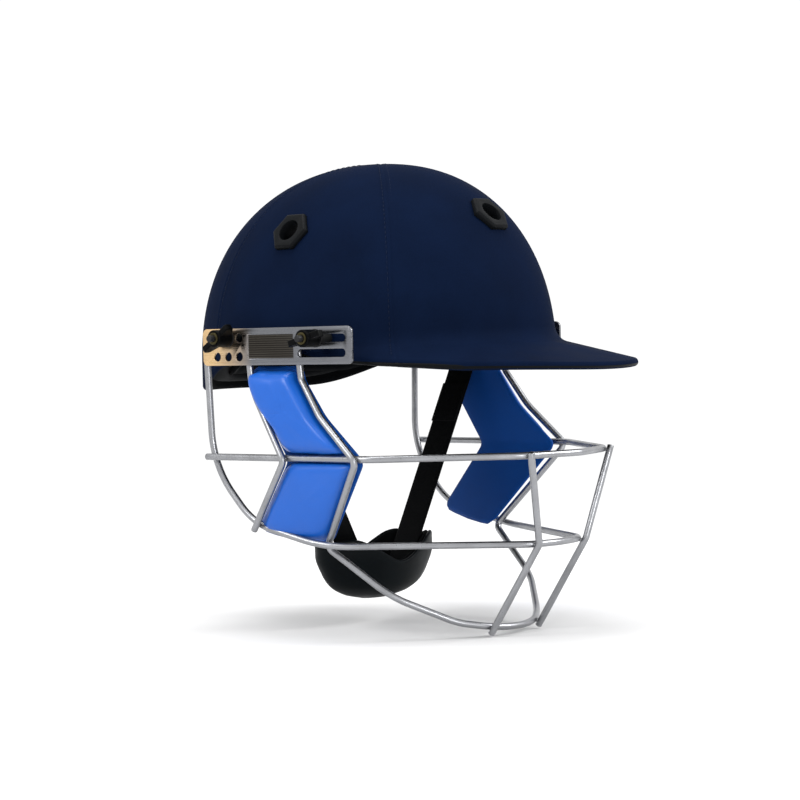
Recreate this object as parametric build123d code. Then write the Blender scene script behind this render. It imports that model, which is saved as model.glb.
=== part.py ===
from build123d import *
from math import asin, cos, radians, sin, sqrt, tan
import os

# A cricket batting helmet: a cloth covered shell with a peak, a padded inside, a bent rod
# face guard on two side plates, four wing nuts, and a chin strap with a cup.
# Lengths are in millimetres. The front is -Y, the wearer's right is -X and up is +Z.
# The origin lies on the centre plane, under the crown, level with the side rim.

# Dome
half_width = 98.0
front_length = 114.0
rear_length = 130.0
crown_height = 124.0
crown_exponent = 2.2
dome_height_shares = (0.998, 0.985, 0.95, 0.89, 0.80, 0.68, 0.54, 0.40, 0.28)

# Peak
peak_reach = 175.0
peak_tip_drop = 2.6
peak_slope_angle = 13.0
peak_root_radius = 10.0
peak_exponent = 2.3
peak_bulge_share = 0.7
peak_side_margin = 1.0
peak_line_shares = (0.3, 0.65, 1.0)
root_arc_shares = (0.0, 0.33, 0.67, 1.0)

# Rim
neck_drop = 17.0
neck_rise_start = 50.0
neck_rise_end = 112.0
skirt_depth = 25.0
rim_slope_start = 32.0
rim_slope_share = 0.085

# Layers of the wall
cloth_thickness = 0.8
shell_thickness = 3.0
glue_gap = 0.25
liner_thickness = 13.5
liner_rise = 5.0
overrun = 5.0
under_skin_start = 45.0
curve_points = 8


def crown_share(height, dome_height):
    """Share of the full width that the dome has at a height."""
    if height <= 0:
        return 1.0
    return (1 - (height / dome_height) ** crown_exponent) ** (1 / crown_exponent)


peak_turn = radians(90 - peak_slope_angle)
peak_fall = tan(radians(peak_slope_angle))
peak_overhang = peak_reach - front_length


def peak_line_height(flare, inset):
    """Height of the straight top of the peak where it stands out by flare from the dome."""
    lowered = peak_tip_drop + inset / cos(radians(peak_slope_angle))
    return (peak_overhang + inset - flare) * peak_fall - lowered


def root_arc(inset):
    """Radius, reach, top and bottom of the hollow arc that joins the dome to the peak."""
    radius = peak_root_radius + inset
    reach = radius * (1 - cos(peak_turn))
    bottom = peak_line_height(reach, inset)
    return radius, reach, bottom + radius * sin(peak_turn), bottom


def flare_at(height, inset):
    """How far the front stands out from the dome at a height."""
    radius, reach, top, bottom = root_arc(inset)
    if height >= top:
        return 0.0
    if height >= bottom:
        return radius - sqrt(radius ** 2 - (top - height) ** 2)
    return reach + (bottom - height) / peak_fall


def oval(height, half, front, rear, exponent):
    """Closed level curve: a full oval in front and half an ellipse behind."""
    points = []
    for step in range(curve_points + 1):
        turn = radians(180 * step / curve_points)
        across = abs(cos(turn)) ** (2 / exponent)
        if cos(turn) > 0:
            across = -across
        along = abs(sin(turn)) ** (2 / exponent) if 0 < step < curve_points else 0.0
        points.append((half * across, -front * along, height))
    front_edge = Edge.make_spline(points, tangents=[(0, -1, 0), (0, 1, 0)], scale=False)
    level = Plane((0, 0, height))
    rear_edge = Edge.make_ellipse(half, rear, level, start_angle=0, end_angle=180)
    return Wire([front_edge, rear_edge])


def level_sizes(height, inset, peaked):
    """Half width, front and rear length and front exponent of a layer at a height."""
    share = crown_share(height, crown_height - inset)
    flare = flare_at(height, inset) if peaked else 0.0
    exponent = 2 + peak_bulge_share * flare / peak_overhang
    half = (half_width - inset) * share
    front = (front_length - inset) * share + flare
    return half, front, (rear_length - inset) * share, exponent


def stack(heights, inset, peaked, ruled=False):
    """Solid through the level curves at some heights."""
    curves = [oval(height, *level_sizes(height, inset, peaked)) for height in heights]
    return Solid.make_loft(curves, ruled=ruled)


def bell(inset, peaked=True):
    """Solid inside the surface that lies inset below the outside of the helmet."""
    top = crown_height - inset
    radius, reach, arc_top, arc_bottom = root_arc(inset)
    dome_heights = [top * share for share in dome_height_shares] + [arc_top]
    dome = stack(dome_heights, inset, peaked)
    if not peaked:
        return dome + stack([arc_top, 0, -skirt_depth], inset, peaked, ruled=True)
    arc_heights = [arc_top - radius * sin(peak_turn * share) for share in root_arc_shares]
    line_flares = [reach + (peak_overhang - reach) * share for share in peak_line_shares]
    line_heights = [peak_line_height(flare, inset) for flare in line_flares]
    root = stack(arc_heights, inset, peaked)
    skirt = stack([arc_bottom] + line_heights + [-skirt_depth], inset, peaked, ruled=True)
    return dome + root + skirt


def wall_x(inset, along, height, peaked=True):
    """Distance of a layer's side surface from the centre plane at a place on the side."""
    half, front, rear, exponent = level_sizes(height, inset, peaked)
    if along > 0:
        return half * sqrt(1 - (along / rear) ** 2)
    return half * (1 - (-along / front) ** exponent) ** (1 / exponent)


def plan_column(inset):
    """Upright column whose front is the outline of the peak seen from above."""
    half = half_width + peak_side_margin - inset
    outline = oval(-skirt_depth - overrun, half, peak_reach - inset,
                   rear_length + overrun, peak_exponent)
    return extrude(Face(outline), skirt_depth + crown_height + 2 * overrun, dir=(0, 0, 1))


def below_rim(rise=0.0):
    """Block under the rim line, which drops to the neck guard at the back."""
    far = peak_reach + rear_length
    rim_front = (-far, rise - (far - rim_slope_start) * rim_slope_share)
    start = (-rim_slope_start, rise)
    level = (neck_rise_start, rise)
    low = (neck_rise_end, rise - neck_drop)
    behind = (far, rise - neck_drop)
    deep = rise - neck_drop - skirt_depth - crown_height
    edges = [
        Edge.make_line(rim_front, start),
        Edge.make_line(start, level),
        Edge.make_spline([level, low], tangents=[(1, 0), (1, 0)]),
        Edge.make_line(low, behind),
        Edge.make_line(behind, (far, deep)),
        Edge.make_line((far, deep), (-far, deep)),
        Edge.make_line((-far, deep), rim_front),
    ]
    side_view = Plane.YZ.offset(-half_width - overrun) * Face(Wire(edges))
    return extrude(side_view, 2 * (half_width + overrun), dir=(1, 0, 0))


def both_sides(part):
    """A part on the wearer's right and its mirror image on the left."""
    return [part, mirror(part, about=Plane.YZ)]


def rod_x_cylinder(radius, x_from, x_to, along, height):
    """Round bar along X between two places."""
    length = abs(x_to - x_from)
    middle = (x_from + x_to) / 2
    return Pos(middle, along, height) * Rot(0, 90, 0) * Cylinder(radius, length)


# Vents: flanged hexagonal eyelets, one in the middle of each cloth panel
vent_bore = 14.0
vent_tube_wall = 2.0
vent_across_flats = 24.0
vent_flange = 3.0
vent_chamfer = 1.2
vent_seat_gap = 0.1
vent_hole_gap = 0.3
front_vent_height = 88.0
side_vent_height = 80.0
side_vent_back = 6.0
lock_ring_width = 4.5
lock_ring_thickness = 2.0
lock_ring_depth = 1.6


def vent_plane(direction):
    """Plane on the dome with its Z along the vent, for a direction seen from above."""
    if direction in ("front", "rear"):
        height = front_vent_height
    else:
        height = side_vent_height
    half, front, rear, _ = level_sizes(height, 0, False)
    if direction == "front":
        place = Vector(0, -front, height)
    elif direction == "rear":
        place = Vector(0, rear, height)
    else:
        x = half * sqrt(1 - (side_vent_back / rear) ** 2)
        place = Vector(-x if direction == "right" else x, side_vent_back, height)
    length = rear_length if place.Y > 0 else front_length
    spread = sqrt((place.X / half_width) ** 2 + (place.Y / length) ** 2)
    fall = spread ** (crown_exponent - 2)
    normal = Vector(
        fall * place.X / half_width ** 2,
        fall * place.Y / length ** 2,
        (place.Z / crown_height) ** (crown_exponent - 1) / crown_height,
    )
    side = Vector(0, 0, 1).cross(normal)
    return Plane(origin=place, x_dir=side, z_dir=normal)


vent_directions = ("front", "rear", "right", "left")
vent_planes = {name: vent_plane(name) for name in vent_directions}
tube_radius = vent_bore / 2 + vent_tube_wall
wall_depth = cloth_thickness + shell_thickness + liner_thickness
lock_ring_seat = cloth_thickness + shell_thickness + lock_ring_depth
tube_depth = lock_ring_seat + lock_ring_thickness + vent_tube_wall


def vent_drill(plane, radius):
    """Round hole through the whole wall."""
    start = plane.offset(-wall_depth - overrun - overrun)
    return extrude(start * Circle(radius), wall_depth + 3 * overrun)


def build_vents(outer_bell):
    """Eyelets with their flange seated on the cloth, and the lock rings inside."""
    vents = {}
    rings = []
    for name, plane in vent_planes.items():
        hexagon = RegularPolygon(vent_across_flats / 2, 6, major_radius=False)
        flange = extrude(plane.offset(-vent_flange) * hexagon, 2 * vent_flange)
        top_edges = flange.faces().filter_by(Axis(plane.origin, plane.z_dir)).sort_by(
            Axis(plane.origin, plane.z_dir))[-1].edges()
        flange = chamfer(top_edges, vent_chamfer)
        flange = flange - outer_bell
        tube = extrude(plane.offset(-tube_depth) * Circle(tube_radius), tube_depth + vent_flange / 2)
        bore = extrude(plane.offset(-tube_depth - overrun) * Circle(vent_bore / 2),
                       tube_depth + vent_flange + 2 * overrun)
        vents[name] = flange + tube - bore
        ring_plane = plane.offset(-lock_ring_seat - lock_ring_thickness)
        ring_face = Circle(tube_radius + lock_ring_width) - Circle(tube_radius + vent_seat_gap)
        rings.append(extrude(ring_plane * ring_face, lock_ring_thickness))
    return vents, rings


# Side plates and their fixings
plate_standoff = 5.1
plate_thickness = 1.5
plate_rear = 58.0
plate_front = 62.5
plate_height = 22.4
plate_corner = 3.5
rear_hole_diameter = 5.6
rear_hole_pitch = 9.2
rear_hole_middle = 36.8
upper_row = 16.6
lower_row = 5.3
slot_rear = 19.8
slot_front = 57.5
slot_width = 4.9
upper_slot = 15.5
lower_slot = 6.7
panel_rear = 20.7
panel_front = 16.9
panel_bottom = 3.5
panel_top = 19.0
panel_depth = 0.35
front_bolt_y = -34.6

bolt_diameter = 4.0
bolt_hole_gap = 0.2
bolt_head_diameter = 10.0
bolt_head_thickness = 2.0
head_gap = 0.05
head_pocket_gap = 1.0
head_inner_gap = 0.6
spacer_diameter = 8.0
spacer_seat_gap = 0.25
running_gap = 0.05
face_gap = 0.1

plate_inner_x = half_width + plate_standoff
plate_outer_x = plate_inner_x + plate_thickness
bolt_radius = bolt_diameter / 2
bolt_places = {"rear": (rear_hole_middle, upper_row), "front": (front_bolt_y, upper_slot)}


def build_side_plate():
    """Right side plate with two rows of holes, two slots and a shallow plain panel."""
    length = plate_rear + plate_front
    middle = (plate_rear - plate_front) / 2
    outline = Pos(middle, plate_height / 2) * RectangleRounded(length, plate_height, plate_corner)
    for row in (upper_row, lower_row):
        for step in (-1, 0, 1):
            hole = Circle(rear_hole_diameter / 2)
            outline -= Pos(rear_hole_middle + step * rear_hole_pitch, row) * hole
    slot_length = slot_front - slot_rear
    for row in (upper_slot, lower_slot):
        outline -= Pos(-(slot_front + slot_rear) / 2, row) * SlotOverall(slot_length, slot_width)
    plate = extrude(Plane.YZ.offset(-plate_outer_x) * outline, plate_thickness)
    panel = Pos((panel_rear - panel_front) / 2, (panel_top + panel_bottom) / 2) * Rectangle(
        panel_rear + panel_front, panel_top - panel_bottom)
    return plate - extrude(Plane.YZ.offset(-plate_outer_x) * panel, panel_depth)


washer_diameter = 11.0
washer_thickness = 1.0
nut_hub_diameter = 10.5
nut_length = 11.5
insert_wall = 1.6
insert_lip = 0.6
nut_travel_turns = 3
thread_pitch = 0.7
wing_span = 25.0
wing_thickness = 3.6
wing_root_share = 0.12
wing_waist_share = 0.5
wing_tip_share = 0.95
wing_corner = 1.6
bolt_spare = 1.5
right_nut_turns = {"rear": -55.0, "front": -75.0}
left_nut_turns = {"rear": 35.0, "front": 35.0}

washer_inner_x = plate_outer_x + face_gap
washer_outer_x = washer_inner_x + washer_thickness
nut_inner_x = washer_outer_x + face_gap
nut_outer_x = nut_inner_x + nut_length
nut_travel = nut_travel_turns * thread_pitch
bolt_end_x = nut_outer_x + insert_lip + nut_travel + bolt_spare
insert_radius = bolt_radius + running_gap + insert_wall


def bolt_head_end(along, height):
    """Distance of a bolt head's inner face from the centre plane."""
    inset = cloth_thickness + shell_thickness
    head_radius = bolt_head_diameter / 2
    rims = [wall_x(inset, along + side * head_radius, height) for side in (-1, 0, 1)]
    return min(rims) - bolt_head_thickness


def build_bolt(inner_bell, along, height):
    """Right bolt, with a low round head seated on the inside of the shell."""
    head_end = bolt_head_end(along, height)
    head = rod_x_cylinder(bolt_head_diameter / 2, -head_end, -half_width, along, height)
    shank = rod_x_cylinder(bolt_radius, -head_end - head_gap, -bolt_end_x, along, height)
    return (head & inner_bell) + shank


def build_spacer(along, height):
    """Right spacer tube between the plate and the cloth that it meets first."""
    reach = spacer_diameter / 2
    places = [(along, height), (along, height - reach), (along, height + reach),
              (along - reach, height), (along + reach, height)]
    start = max(wall_x(0, *place) for place in places) + spacer_seat_gap
    tube = rod_x_cylinder(reach, -start, -plate_inner_x + face_gap, along, height)
    return tube - rod_x_cylinder(bolt_radius + bolt_hole_gap, -start + overrun,
                                 -plate_inner_x - overrun, along, height)


def build_washer(along, height):
    """Right captive washer under a wing nut."""
    ring = rod_x_cylinder(washer_diameter / 2, -washer_inner_x, -washer_outer_x, along, height)
    return ring - rod_x_cylinder(bolt_radius + running_gap, -washer_inner_x + overrun,
                                 -washer_outer_x - overrun, along, height)


def build_wing_nut(along, height, turn):
    """Right wing nut: a tapered hub with two ears, open for its metal insert."""
    place = Pos(-nut_inner_x, along, height) * Rot(0, -90, 0) * Rot(0, 0, turn)
    hub = Cylinder(nut_hub_diameter / 2, nut_length,
                   align=(Align.CENTER, Align.CENTER, Align.MIN))
    half_span = wing_span / 2
    ear = Polygon(
        (0, nut_length * wing_root_share),
        (half_span * wing_waist_share, nut_length * wing_root_share),
        (half_span, nut_length * wing_waist_share),
        (half_span, nut_length * wing_tip_share),
        (half_span * wing_waist_share, nut_length * wing_tip_share),
        (0, nut_length * wing_waist_share),
        align=None,
    )
    ear = fillet(ear.vertices().filter_by_position(
        Axis.X, half_span * wing_waist_share, half_span), wing_corner)
    ears = extrude(Plane.XZ.offset(-wing_thickness / 2) * ear, wing_thickness)
    ears += mirror(ears, about=Plane.YZ)
    bore = Cylinder(insert_radius + running_gap, nut_length + 2 * overrun)
    return place * (hub + ears - Pos(0, 0, nut_length / 2) * bore)


def build_insert(along, height):
    """Right threaded metal insert, drawn with a plain bore."""
    body = rod_x_cylinder(insert_radius, -nut_inner_x, -nut_outer_x - insert_lip, along, height)
    return body - rod_x_cylinder(bolt_radius + running_gap, -nut_inner_x + overrun,
                                 -nut_outer_x - overrun, along, height)


# Face guard: bent steel rod, welded where rods cross and along the inside of the plates
rod_diameter = 4.2
weld_gap = 0.04
rod_radius = rod_diameter / 2
rod_pitch = rod_diameter + weld_gap
rod_x = plate_inner_x - weld_gap - rod_radius
rod_top = 12.0

ring_height = -56.0
ring_rear_y = 59.0
ring_splay = 2.0
ring_taper = 0.5
ring_tip_y = -69.0
ring_corner_x = 41.0
ring_corner_y = -139.0
ring_front_y = -150.0
ring_tip_bend = 20.0
ring_corner_bend = 25.0

j_bar_top_y = 57.9
j_bar_y = 57.5
j_bar_knee_z = -62.0
j_bar_heel_y = 28.0
j_bar_heel_z = -97.0
lower_side_x = 91.5
lower_side_y = -25.5
lower_height = -109.5
lower_corner_x = 24.0
lower_corner_y = -131.5
lower_front_y = -136.5
j_bar_bend = 60.0
heel_bend = 45.0
lower_side_bend = 60.0
lower_corner_bend = 22.0

cheek_front_y = -16.8
cheek_knee_z = -9.0
cheek_knee_y = -19.0
cheek_mid_y = -35.0
cheek_mid_z = -31.5
cheek_tip_y = -63.6
cheek_tip_z = -57.6
chin_side_x = 84.0
chin_side_y = -21.5
chin_side_z = -110.5
chin_mid_x = 70.0
chin_mid_y = -59.0
chin_mid_z = -140.0
chin_low_x = 40.0
chin_low_y = -85.5
chin_low_z = -157.3
chin_front_x = 16.0
chin_front_y = -101.0
chin_front_z = -162.0
tight_bend = 5.0
cheek_bend = 40.0
chin_bend = 50.0

rear_cheek_y = 23.4
rear_cheek_knee_z = -14.0
rear_cheek_tip_y = -8.0
rear_cheek_tip_z = -57.6
rear_cheek_low_y = 25.0
rear_cheek_low_z = -101.0
rear_cheek_low_lap = 0.85

upper_ring_bends = [ring_tip_bend] + [ring_corner_bend] * 3 + [ring_tip_bend]
lower_side_bends = [j_bar_bend, j_bar_bend, heel_bend, lower_side_bend, lower_corner_bend]
lower_ring_bends = lower_side_bends + [lower_side_bend] + lower_side_bends[::-1]
chin_side_bends = [tight_bend, cheek_bend, tight_bend, tight_bend] + [chin_bend] * 3
chin_loop_bends = chin_side_bends + chin_side_bends[::-1]
rear_cheek_bends = [cheek_bend, tight_bend]

bar_low_y = -99.3
bar_low_z = -163.1
bar_overhang = 2.5
tip_stand = 0.4
bar_ring_gap = 0.08
bar_corner_rise = 0.45


def rod(points, bends):
    """Round rod along straight runs joined by arcs."""
    path = FilletPolyline(*points, radius=bends)
    start = Plane(origin=path @ 0, z_dir=path % 0)
    return sweep(start * Circle(rod_radius), path=path)


def loop_points(right_half):
    """Points of a rod that runs from the right side round to the left."""
    left_half = [(-x, y, z) for x, y, z in reversed(right_half)]
    return right_half + left_half


def ring_side_x(along):
    """Distance of the upper ring's side run from the centre plane."""
    rear_x = rod_x + ring_splay
    tip_x = rod_x - ring_taper
    return rear_x + (tip_x - rear_x) * (ring_rear_y - along) / (ring_rear_y - ring_tip_y)


def upper_ring_points():
    """Level ring round the face, outside the two uprights at its rear ends."""
    right = [
        (-ring_side_x(ring_rear_y), ring_rear_y, ring_height),
        (-ring_side_x(ring_tip_y), ring_tip_y, ring_height),
        (-ring_corner_x, ring_corner_y, ring_height),
    ]
    left = [(-x, y, z) for x, y, z in reversed(right)]
    return right + [(0, ring_front_y, ring_height)] + left


def lower_ring_points():
    """Upright from the plate, round the heel and on as the lower ring."""
    upright_x = ring_side_x(j_bar_y) - rod_pitch
    knee_x = rod_x + (upright_x - rod_x) * j_bar_knee_z / ring_height
    right = [
        (-rod_x, j_bar_top_y, rod_top),
        (-rod_x, j_bar_top_y, 0),
        (-knee_x, j_bar_y, j_bar_knee_z),
        (-(upright_x + lower_side_x) / 2, j_bar_heel_y, j_bar_heel_z),
        (-lower_side_x, lower_side_y, lower_height),
        (-lower_corner_x, lower_corner_y, lower_height),
    ]
    left = [(-x, y, z) for x, y, z in reversed(right)]
    return right + [(0, lower_front_y, lower_height)] + left


def chin_loop_points():
    """Front cheek rod, bent at the upper ring, and on inside the lower ring to the chin."""
    tip_x = ring_side_x(cheek_tip_y) + rod_pitch + tip_stand
    return loop_points([
        (-rod_x, cheek_front_y, rod_top),
        (-rod_x, cheek_knee_y, cheek_knee_z),
        (-(rod_x + tip_x) / 2, cheek_mid_y, cheek_mid_z),
        (-tip_x, cheek_tip_y, cheek_tip_z),
        (-chin_side_x, chin_side_y, chin_side_z),
        (-chin_mid_x, chin_mid_y, chin_mid_z),
        (-chin_low_x, chin_low_y, chin_low_z),
        (-chin_front_x, chin_front_y, chin_front_z),
    ])


def rear_cheek_points():
    """Rear cheek rod, from the plate over the upper ring to the outside of the upright."""
    tip_x = ring_side_x(rear_cheek_tip_y) + rod_pitch + tip_stand
    heel_x = (ring_side_x(j_bar_y) - rod_pitch + lower_side_x) / 2
    return [
        (-rod_x, rear_cheek_y, rod_top),
        (-rod_x, rear_cheek_y - rod_radius, rear_cheek_knee_z),
        (-tip_x, rear_cheek_tip_y, rear_cheek_tip_z),
        (-heel_x - rod_pitch + rear_cheek_low_lap, rear_cheek_low_y, rear_cheek_low_z),
    ]


def front_bar_points():
    """Upright bar in front of both rings and the chin loop."""
    knee_y = lower_corner_y - rod_pitch + bar_corner_rise
    run_y = bar_low_y - knee_y
    run_z = bar_low_z - lower_height
    share = 1 + bar_overhang / sqrt(run_y ** 2 + run_z ** 2)
    return [
        (-ring_corner_x, ring_corner_y - rod_pitch - bar_ring_gap, ring_height + rod_radius),
        (-lower_corner_x, knee_y, lower_height),
        (-lower_corner_x, knee_y + run_y * share, lower_height + run_z * share),
    ]


# Cheek pads: one chevron pad on each side, inside the rods, with two raised panels
pad_base_thickness = 4.0
pad_panel_thickness = 5.2
pad_front_lap = 2.0
pad_rear_top_lap = 2.0
pad_rear_tip_lap = 5.0
pad_rod_gap = 0.6
pad_panel_margin = 1.7
pad_top_z = -2.6
pad_front_bottom_z = -106.5
pad_rear_bottom_z = -99.0
pad_panel_rim = 4.0
pad_height_shares = (0.0, 0.22, 0.45, 0.72, 1.0)
pad_lower_shares = (0.0, 0.5, 1.0)


def place_on_rod(points, height):
    """Y and distance from the centre plane where straight runs pass a height."""
    height = min(height, points[0][2])
    for (x0, y0, z0), (x1, y1, z1) in zip(points, points[1:]):
        if z1 <= height <= z0:
            share = (z0 - height) / (z0 - z1)
            return y0 + (y1 - y0) * share, abs(x0 + (x1 - x0) * share)
    x, y, _ = points[-1]
    return y, abs(x)


def pad_solid(stations):
    """Closed solid through slanted stations: front y and z, rear y and z, four widths."""
    wires = []
    for front, rear, front_x, rear_x, thickness in stations:
        corners = [
            Vector(-front_x, *front),
            Vector(-rear_x, *rear),
            Vector(-rear_x + thickness, *rear),
            Vector(-front_x + thickness, *front),
        ]
        wires.append(Wire.make_polygon(corners))
    return Solid.make_loft(wires, ruled=True)


def build_cheek_pad():
    """Right cheek pad: a chevron base and a raised panel above and below the ring."""
    front_rod = chin_loop_points()[:5]
    rear_rod = rear_cheek_points()
    tip = ring_height
    base_x = ring_side_x(ring_tip_y) - rod_radius - pad_rod_gap
    low_front_x = place_on_rod(front_rod[3:], pad_front_bottom_z)[1] - rod_radius - pad_rod_gap
    upright_x = ring_side_x(j_bar_y) - rod_pitch
    low_rear_x = (upright_x + lower_side_x) / 2 - rod_radius - pad_rod_gap

    def upper(trim, top_lap, tip_lap, top, bottom, face_x, thickness):
        stations = []
        for share in pad_height_shares:
            height = top + (bottom - top) * share
            front = place_on_rod(front_rod[:4], height)[0] + trim
            rear = place_on_rod(rear_rod[:3], height)[0] + top_lap + (tip_lap - top_lap) * share
            stations.append(((front, height), (rear, height), face_x, face_x, thickness))
        return pad_solid(stations)

    def lower(trim, lap, top, rim, raise_x, thickness):
        stations = []
        for share in pad_lower_shares:
            front_z = top + (pad_front_bottom_z + rim - top) * share
            rear_z = top + (pad_rear_bottom_z + rim - top) * share
            front = place_on_rod(front_rod[3:], front_z)[0] + trim
            rear = place_on_rod(rear_rod[2:], rear_z)[0] + lap
            front_x = base_x + (low_front_x - base_x) * (tip - front_z) / (tip - pad_front_bottom_z)
            rear_x = base_x + (low_rear_x - base_x) * (tip - rear_z) / (tip - pad_rear_bottom_z)
            stations.append(((front, front_z), (rear, rear_z), front_x + raise_x,
                             rear_x + raise_x, thickness))
        return pad_solid(stations)

    trim = rod_radius + pad_panel_margin
    crease = rod_radius + pad_panel_margin
    pad = upper(-pad_front_lap, pad_rear_top_lap, pad_rear_tip_lap, pad_top_z, tip, base_x,
                pad_base_thickness)
    pad += lower(-pad_front_lap, pad_rear_tip_lap, tip, 0, 0, pad_base_thickness)
    panel_depth_all = pad_panel_thickness + pad_base_thickness / 2
    pad += upper(trim, -trim, -trim, pad_top_z - pad_panel_rim, tip + crease,
                 base_x + pad_panel_thickness, panel_depth_all)
    pad += lower(trim, -trim, tip - crease, pad_panel_rim, pad_panel_thickness, panel_depth_all)
    return pad


# Comfort pads inside the liner
comfort_gap = 0.3
comfort_thickness = 5.0
band_bottom = 9.0
band_top = 44.0
rear_band_bottom = -8.0
front_band_angle = 52.0
side_band_angle = 30.0
band_space_angle = 5.0
crown_pad_radius = 42.0


def fan(middle_angle, half_angle, bottom, top):
    """Upright wedge seen from above, about a direction measured from the front."""
    reach = rear_length + front_length
    points = [(0, 0)]
    for side in (-1, -1 / 3, 1 / 3, 1):
        turn = radians(middle_angle + side * half_angle)
        points.append((reach * sin(turn), -reach * cos(turn)))
    wedge = Face(Wire.make_polygon([Vector(x, y, bottom) for x, y in points]))
    return extrude(wedge, top - bottom, dir=(0, 0, 1))


def build_comfort_pads():
    """Sweatband in front, a pad on each side and at the back, and a round crown pad."""
    outer = cloth_thickness + shell_thickness + glue_gap + liner_thickness + comfort_gap
    layer = bell(outer, False) - bell(outer + comfort_thickness, False)
    side_half = (180 - front_band_angle - side_band_angle) / 4 + band_space_angle
    side_middle = (front_band_angle + side_half) + band_space_angle
    rear_half = 180 - side_middle - side_half - band_space_angle
    pads = {
        "front_sweatband": layer & fan(0, front_band_angle, band_bottom, band_top),
        "side_pad_left": layer & fan(side_middle, side_half, band_bottom, band_top),
        "side_pad_right": layer & fan(-side_middle, side_half, band_bottom, band_top),
        "rear_pad": layer & fan(180, rear_half, rear_band_bottom, band_top),
    }
    column = Cylinder(crown_pad_radius, crown_height,
                      align=(Align.CENTER, Align.CENTER, Align.MIN))
    pads["crown_pad"] = layer & (Pos(0, 0, crown_height / 2) * column)
    return pads


# Chin strap, swinging on a rivet inside the rim on each side, and its cup
strap_y = 9.5
strap_pivot_z = 6.0
strap_recess = 7.0
strap_width = 20.0
strap_thickness = 1.6
strap_bend_z = -8.0
strap_bend_radius = 10.0
strap_foot_x = 20.0
strap_foot_z = -133.0
strap_fold_z = -42.0
strap_fold_thickness = 1.5
rivet_diameter = 4.0
rivet_head_diameter = 9.0
rivet_head_thickness = 1.5
rivet_face_gap = 0.15
strap_pocket_gap = 1.6
strap_pocket_front = 13.0
strap_pocket_rear = 24.0
strap_pocket_top = 18.5

strap_face_x = half_width - strap_recess
strap_middle_x = strap_face_x - strap_thickness / 2
rivet_radius = rivet_diameter / 2
strap_stack = strap_thickness + rivet_head_thickness + strap_pocket_gap
strap_pocket_depth = strap_recess + strap_stack


def build_strap():
    """Right half of the webbing: flat at the rivet, then slanting in to the cup."""
    top = strap_pivot_z + strap_width / 2
    points = [
        (-strap_middle_x, strap_y, top),
        (-strap_middle_x, strap_y, strap_bend_z),
        (-strap_foot_x, strap_y, strap_foot_z),
    ]
    path = FilletPolyline(*points, radius=strap_bend_radius)
    start = Plane(origin=path @ 0, x_dir=(0, 1, 0), z_dir=path % 0)
    strap = sweep(start * Rectangle(strap_width, strap_thickness), path=path)
    inward = Vector(*points[2]) - Vector(*points[1])
    steep = inward.Z / inward.X
    fold_from = strap_bend_z - strap_width / 2
    fold_plane = Plane(
        origin=(points[1][0] + (fold_from - strap_bend_z) / steep, strap_y, fold_from),
        x_dir=(0, 1, 0), z_dir=inward)
    fold_length = (fold_from - strap_fold_z) / sqrt(1 - (inward.X / inward.length) ** 2)
    side = 1 if fold_plane.y_dir.X > 0 else -1
    layer = Pos(0, side * (strap_thickness + strap_fold_thickness) / 2) * Rectangle(
        strap_width, strap_fold_thickness)
    strap += extrude(fold_plane * layer, fold_length)
    tongue = Pos(strap_y, strap_pivot_z) * Circle(strap_width / 2)
    drop = strap_pivot_z - strap_foot_z + overrun
    tongue += Pos(strap_y, strap_pivot_z - drop / 2) * Rectangle(strap_width + overrun, drop)
    outline = extrude(Plane.YZ.offset(-half_width) * tongue, half_width, dir=(1, 0, 0))
    strap = strap & outline
    hole = rod_x_cylinder(rivet_radius + running_gap, -half_width, -strap_face_x + overrun,
                          strap_y, strap_pivot_z)
    return strap - hole


def build_rivet(shell, cover, inner_bell):
    """Right strap rivet: head outside, spacer collar, shank and inner head."""
    inner_face = strap_face_x - strap_thickness
    head_radius = rivet_head_diameter / 2
    wall = wall_x(0, strap_y, strap_pivot_z)
    shank = rod_x_cylinder(rivet_radius, -wall - rivet_face_gap,
                           -inner_face + rivet_face_gap + rivet_face_gap,
                           strap_y, strap_pivot_z)
    inner_head = rod_x_cylinder(head_radius, -inner_face + rivet_face_gap,
                                -inner_face + rivet_face_gap + rivet_head_thickness,
                                strap_y, strap_pivot_z)
    collar = rod_x_cylinder(head_radius, -strap_face_x - rivet_face_gap,
                            -wall, strap_y, strap_pivot_z) & inner_bell
    outer_head = rod_x_cylinder(head_radius, -wall + rivet_head_thickness,
                                -wall - rivet_head_thickness, strap_y, strap_pivot_z)
    outer_head = outer_head - shell - cover
    return shank + inner_head + collar + outer_head


cup_back = 3.0
cup_half_length = 50.0
cup_half_width = 25.0
cup_wall = 2.4
lining_thickness = 3.0
lining_gap = 0.1
cup_level = -118.0
cup_bottom_z = -150.5
cup_top_z = -84.0
cup_height_shares = (0.0, 0.05, 0.14, 0.26, 0.44, 0.66, 1.0)
cup_size_shares = (0.25, 0.55, 0.775, 0.90, 1.0, 1.0, 0.92)
notch_z = -127.0
notch_slope_share = 0.38
wing_top_z = -104.0
wing_inner_x = 34.0
wing_outer_x = 42.0
wing_end_z = -118.0
notch_half_flat = 5.0


def cup_bowl(inset):
    """Solid inside a surface that lies inset below the outside of the chin cup."""
    ovals = []
    for rise, size in zip(cup_height_shares, cup_size_shares):
        height = cup_bottom_z + inset + (cup_top_z - cup_bottom_z - inset) * rise
        level = Plane((0, strap_y + cup_back, height))
        long_half = (cup_half_length - inset) * size
        short_half = (cup_half_width - inset) * size
        ovals.append(Wire([Edge.make_ellipse(long_half, short_half, level)]))
    return Solid.make_loft(ovals)


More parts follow.
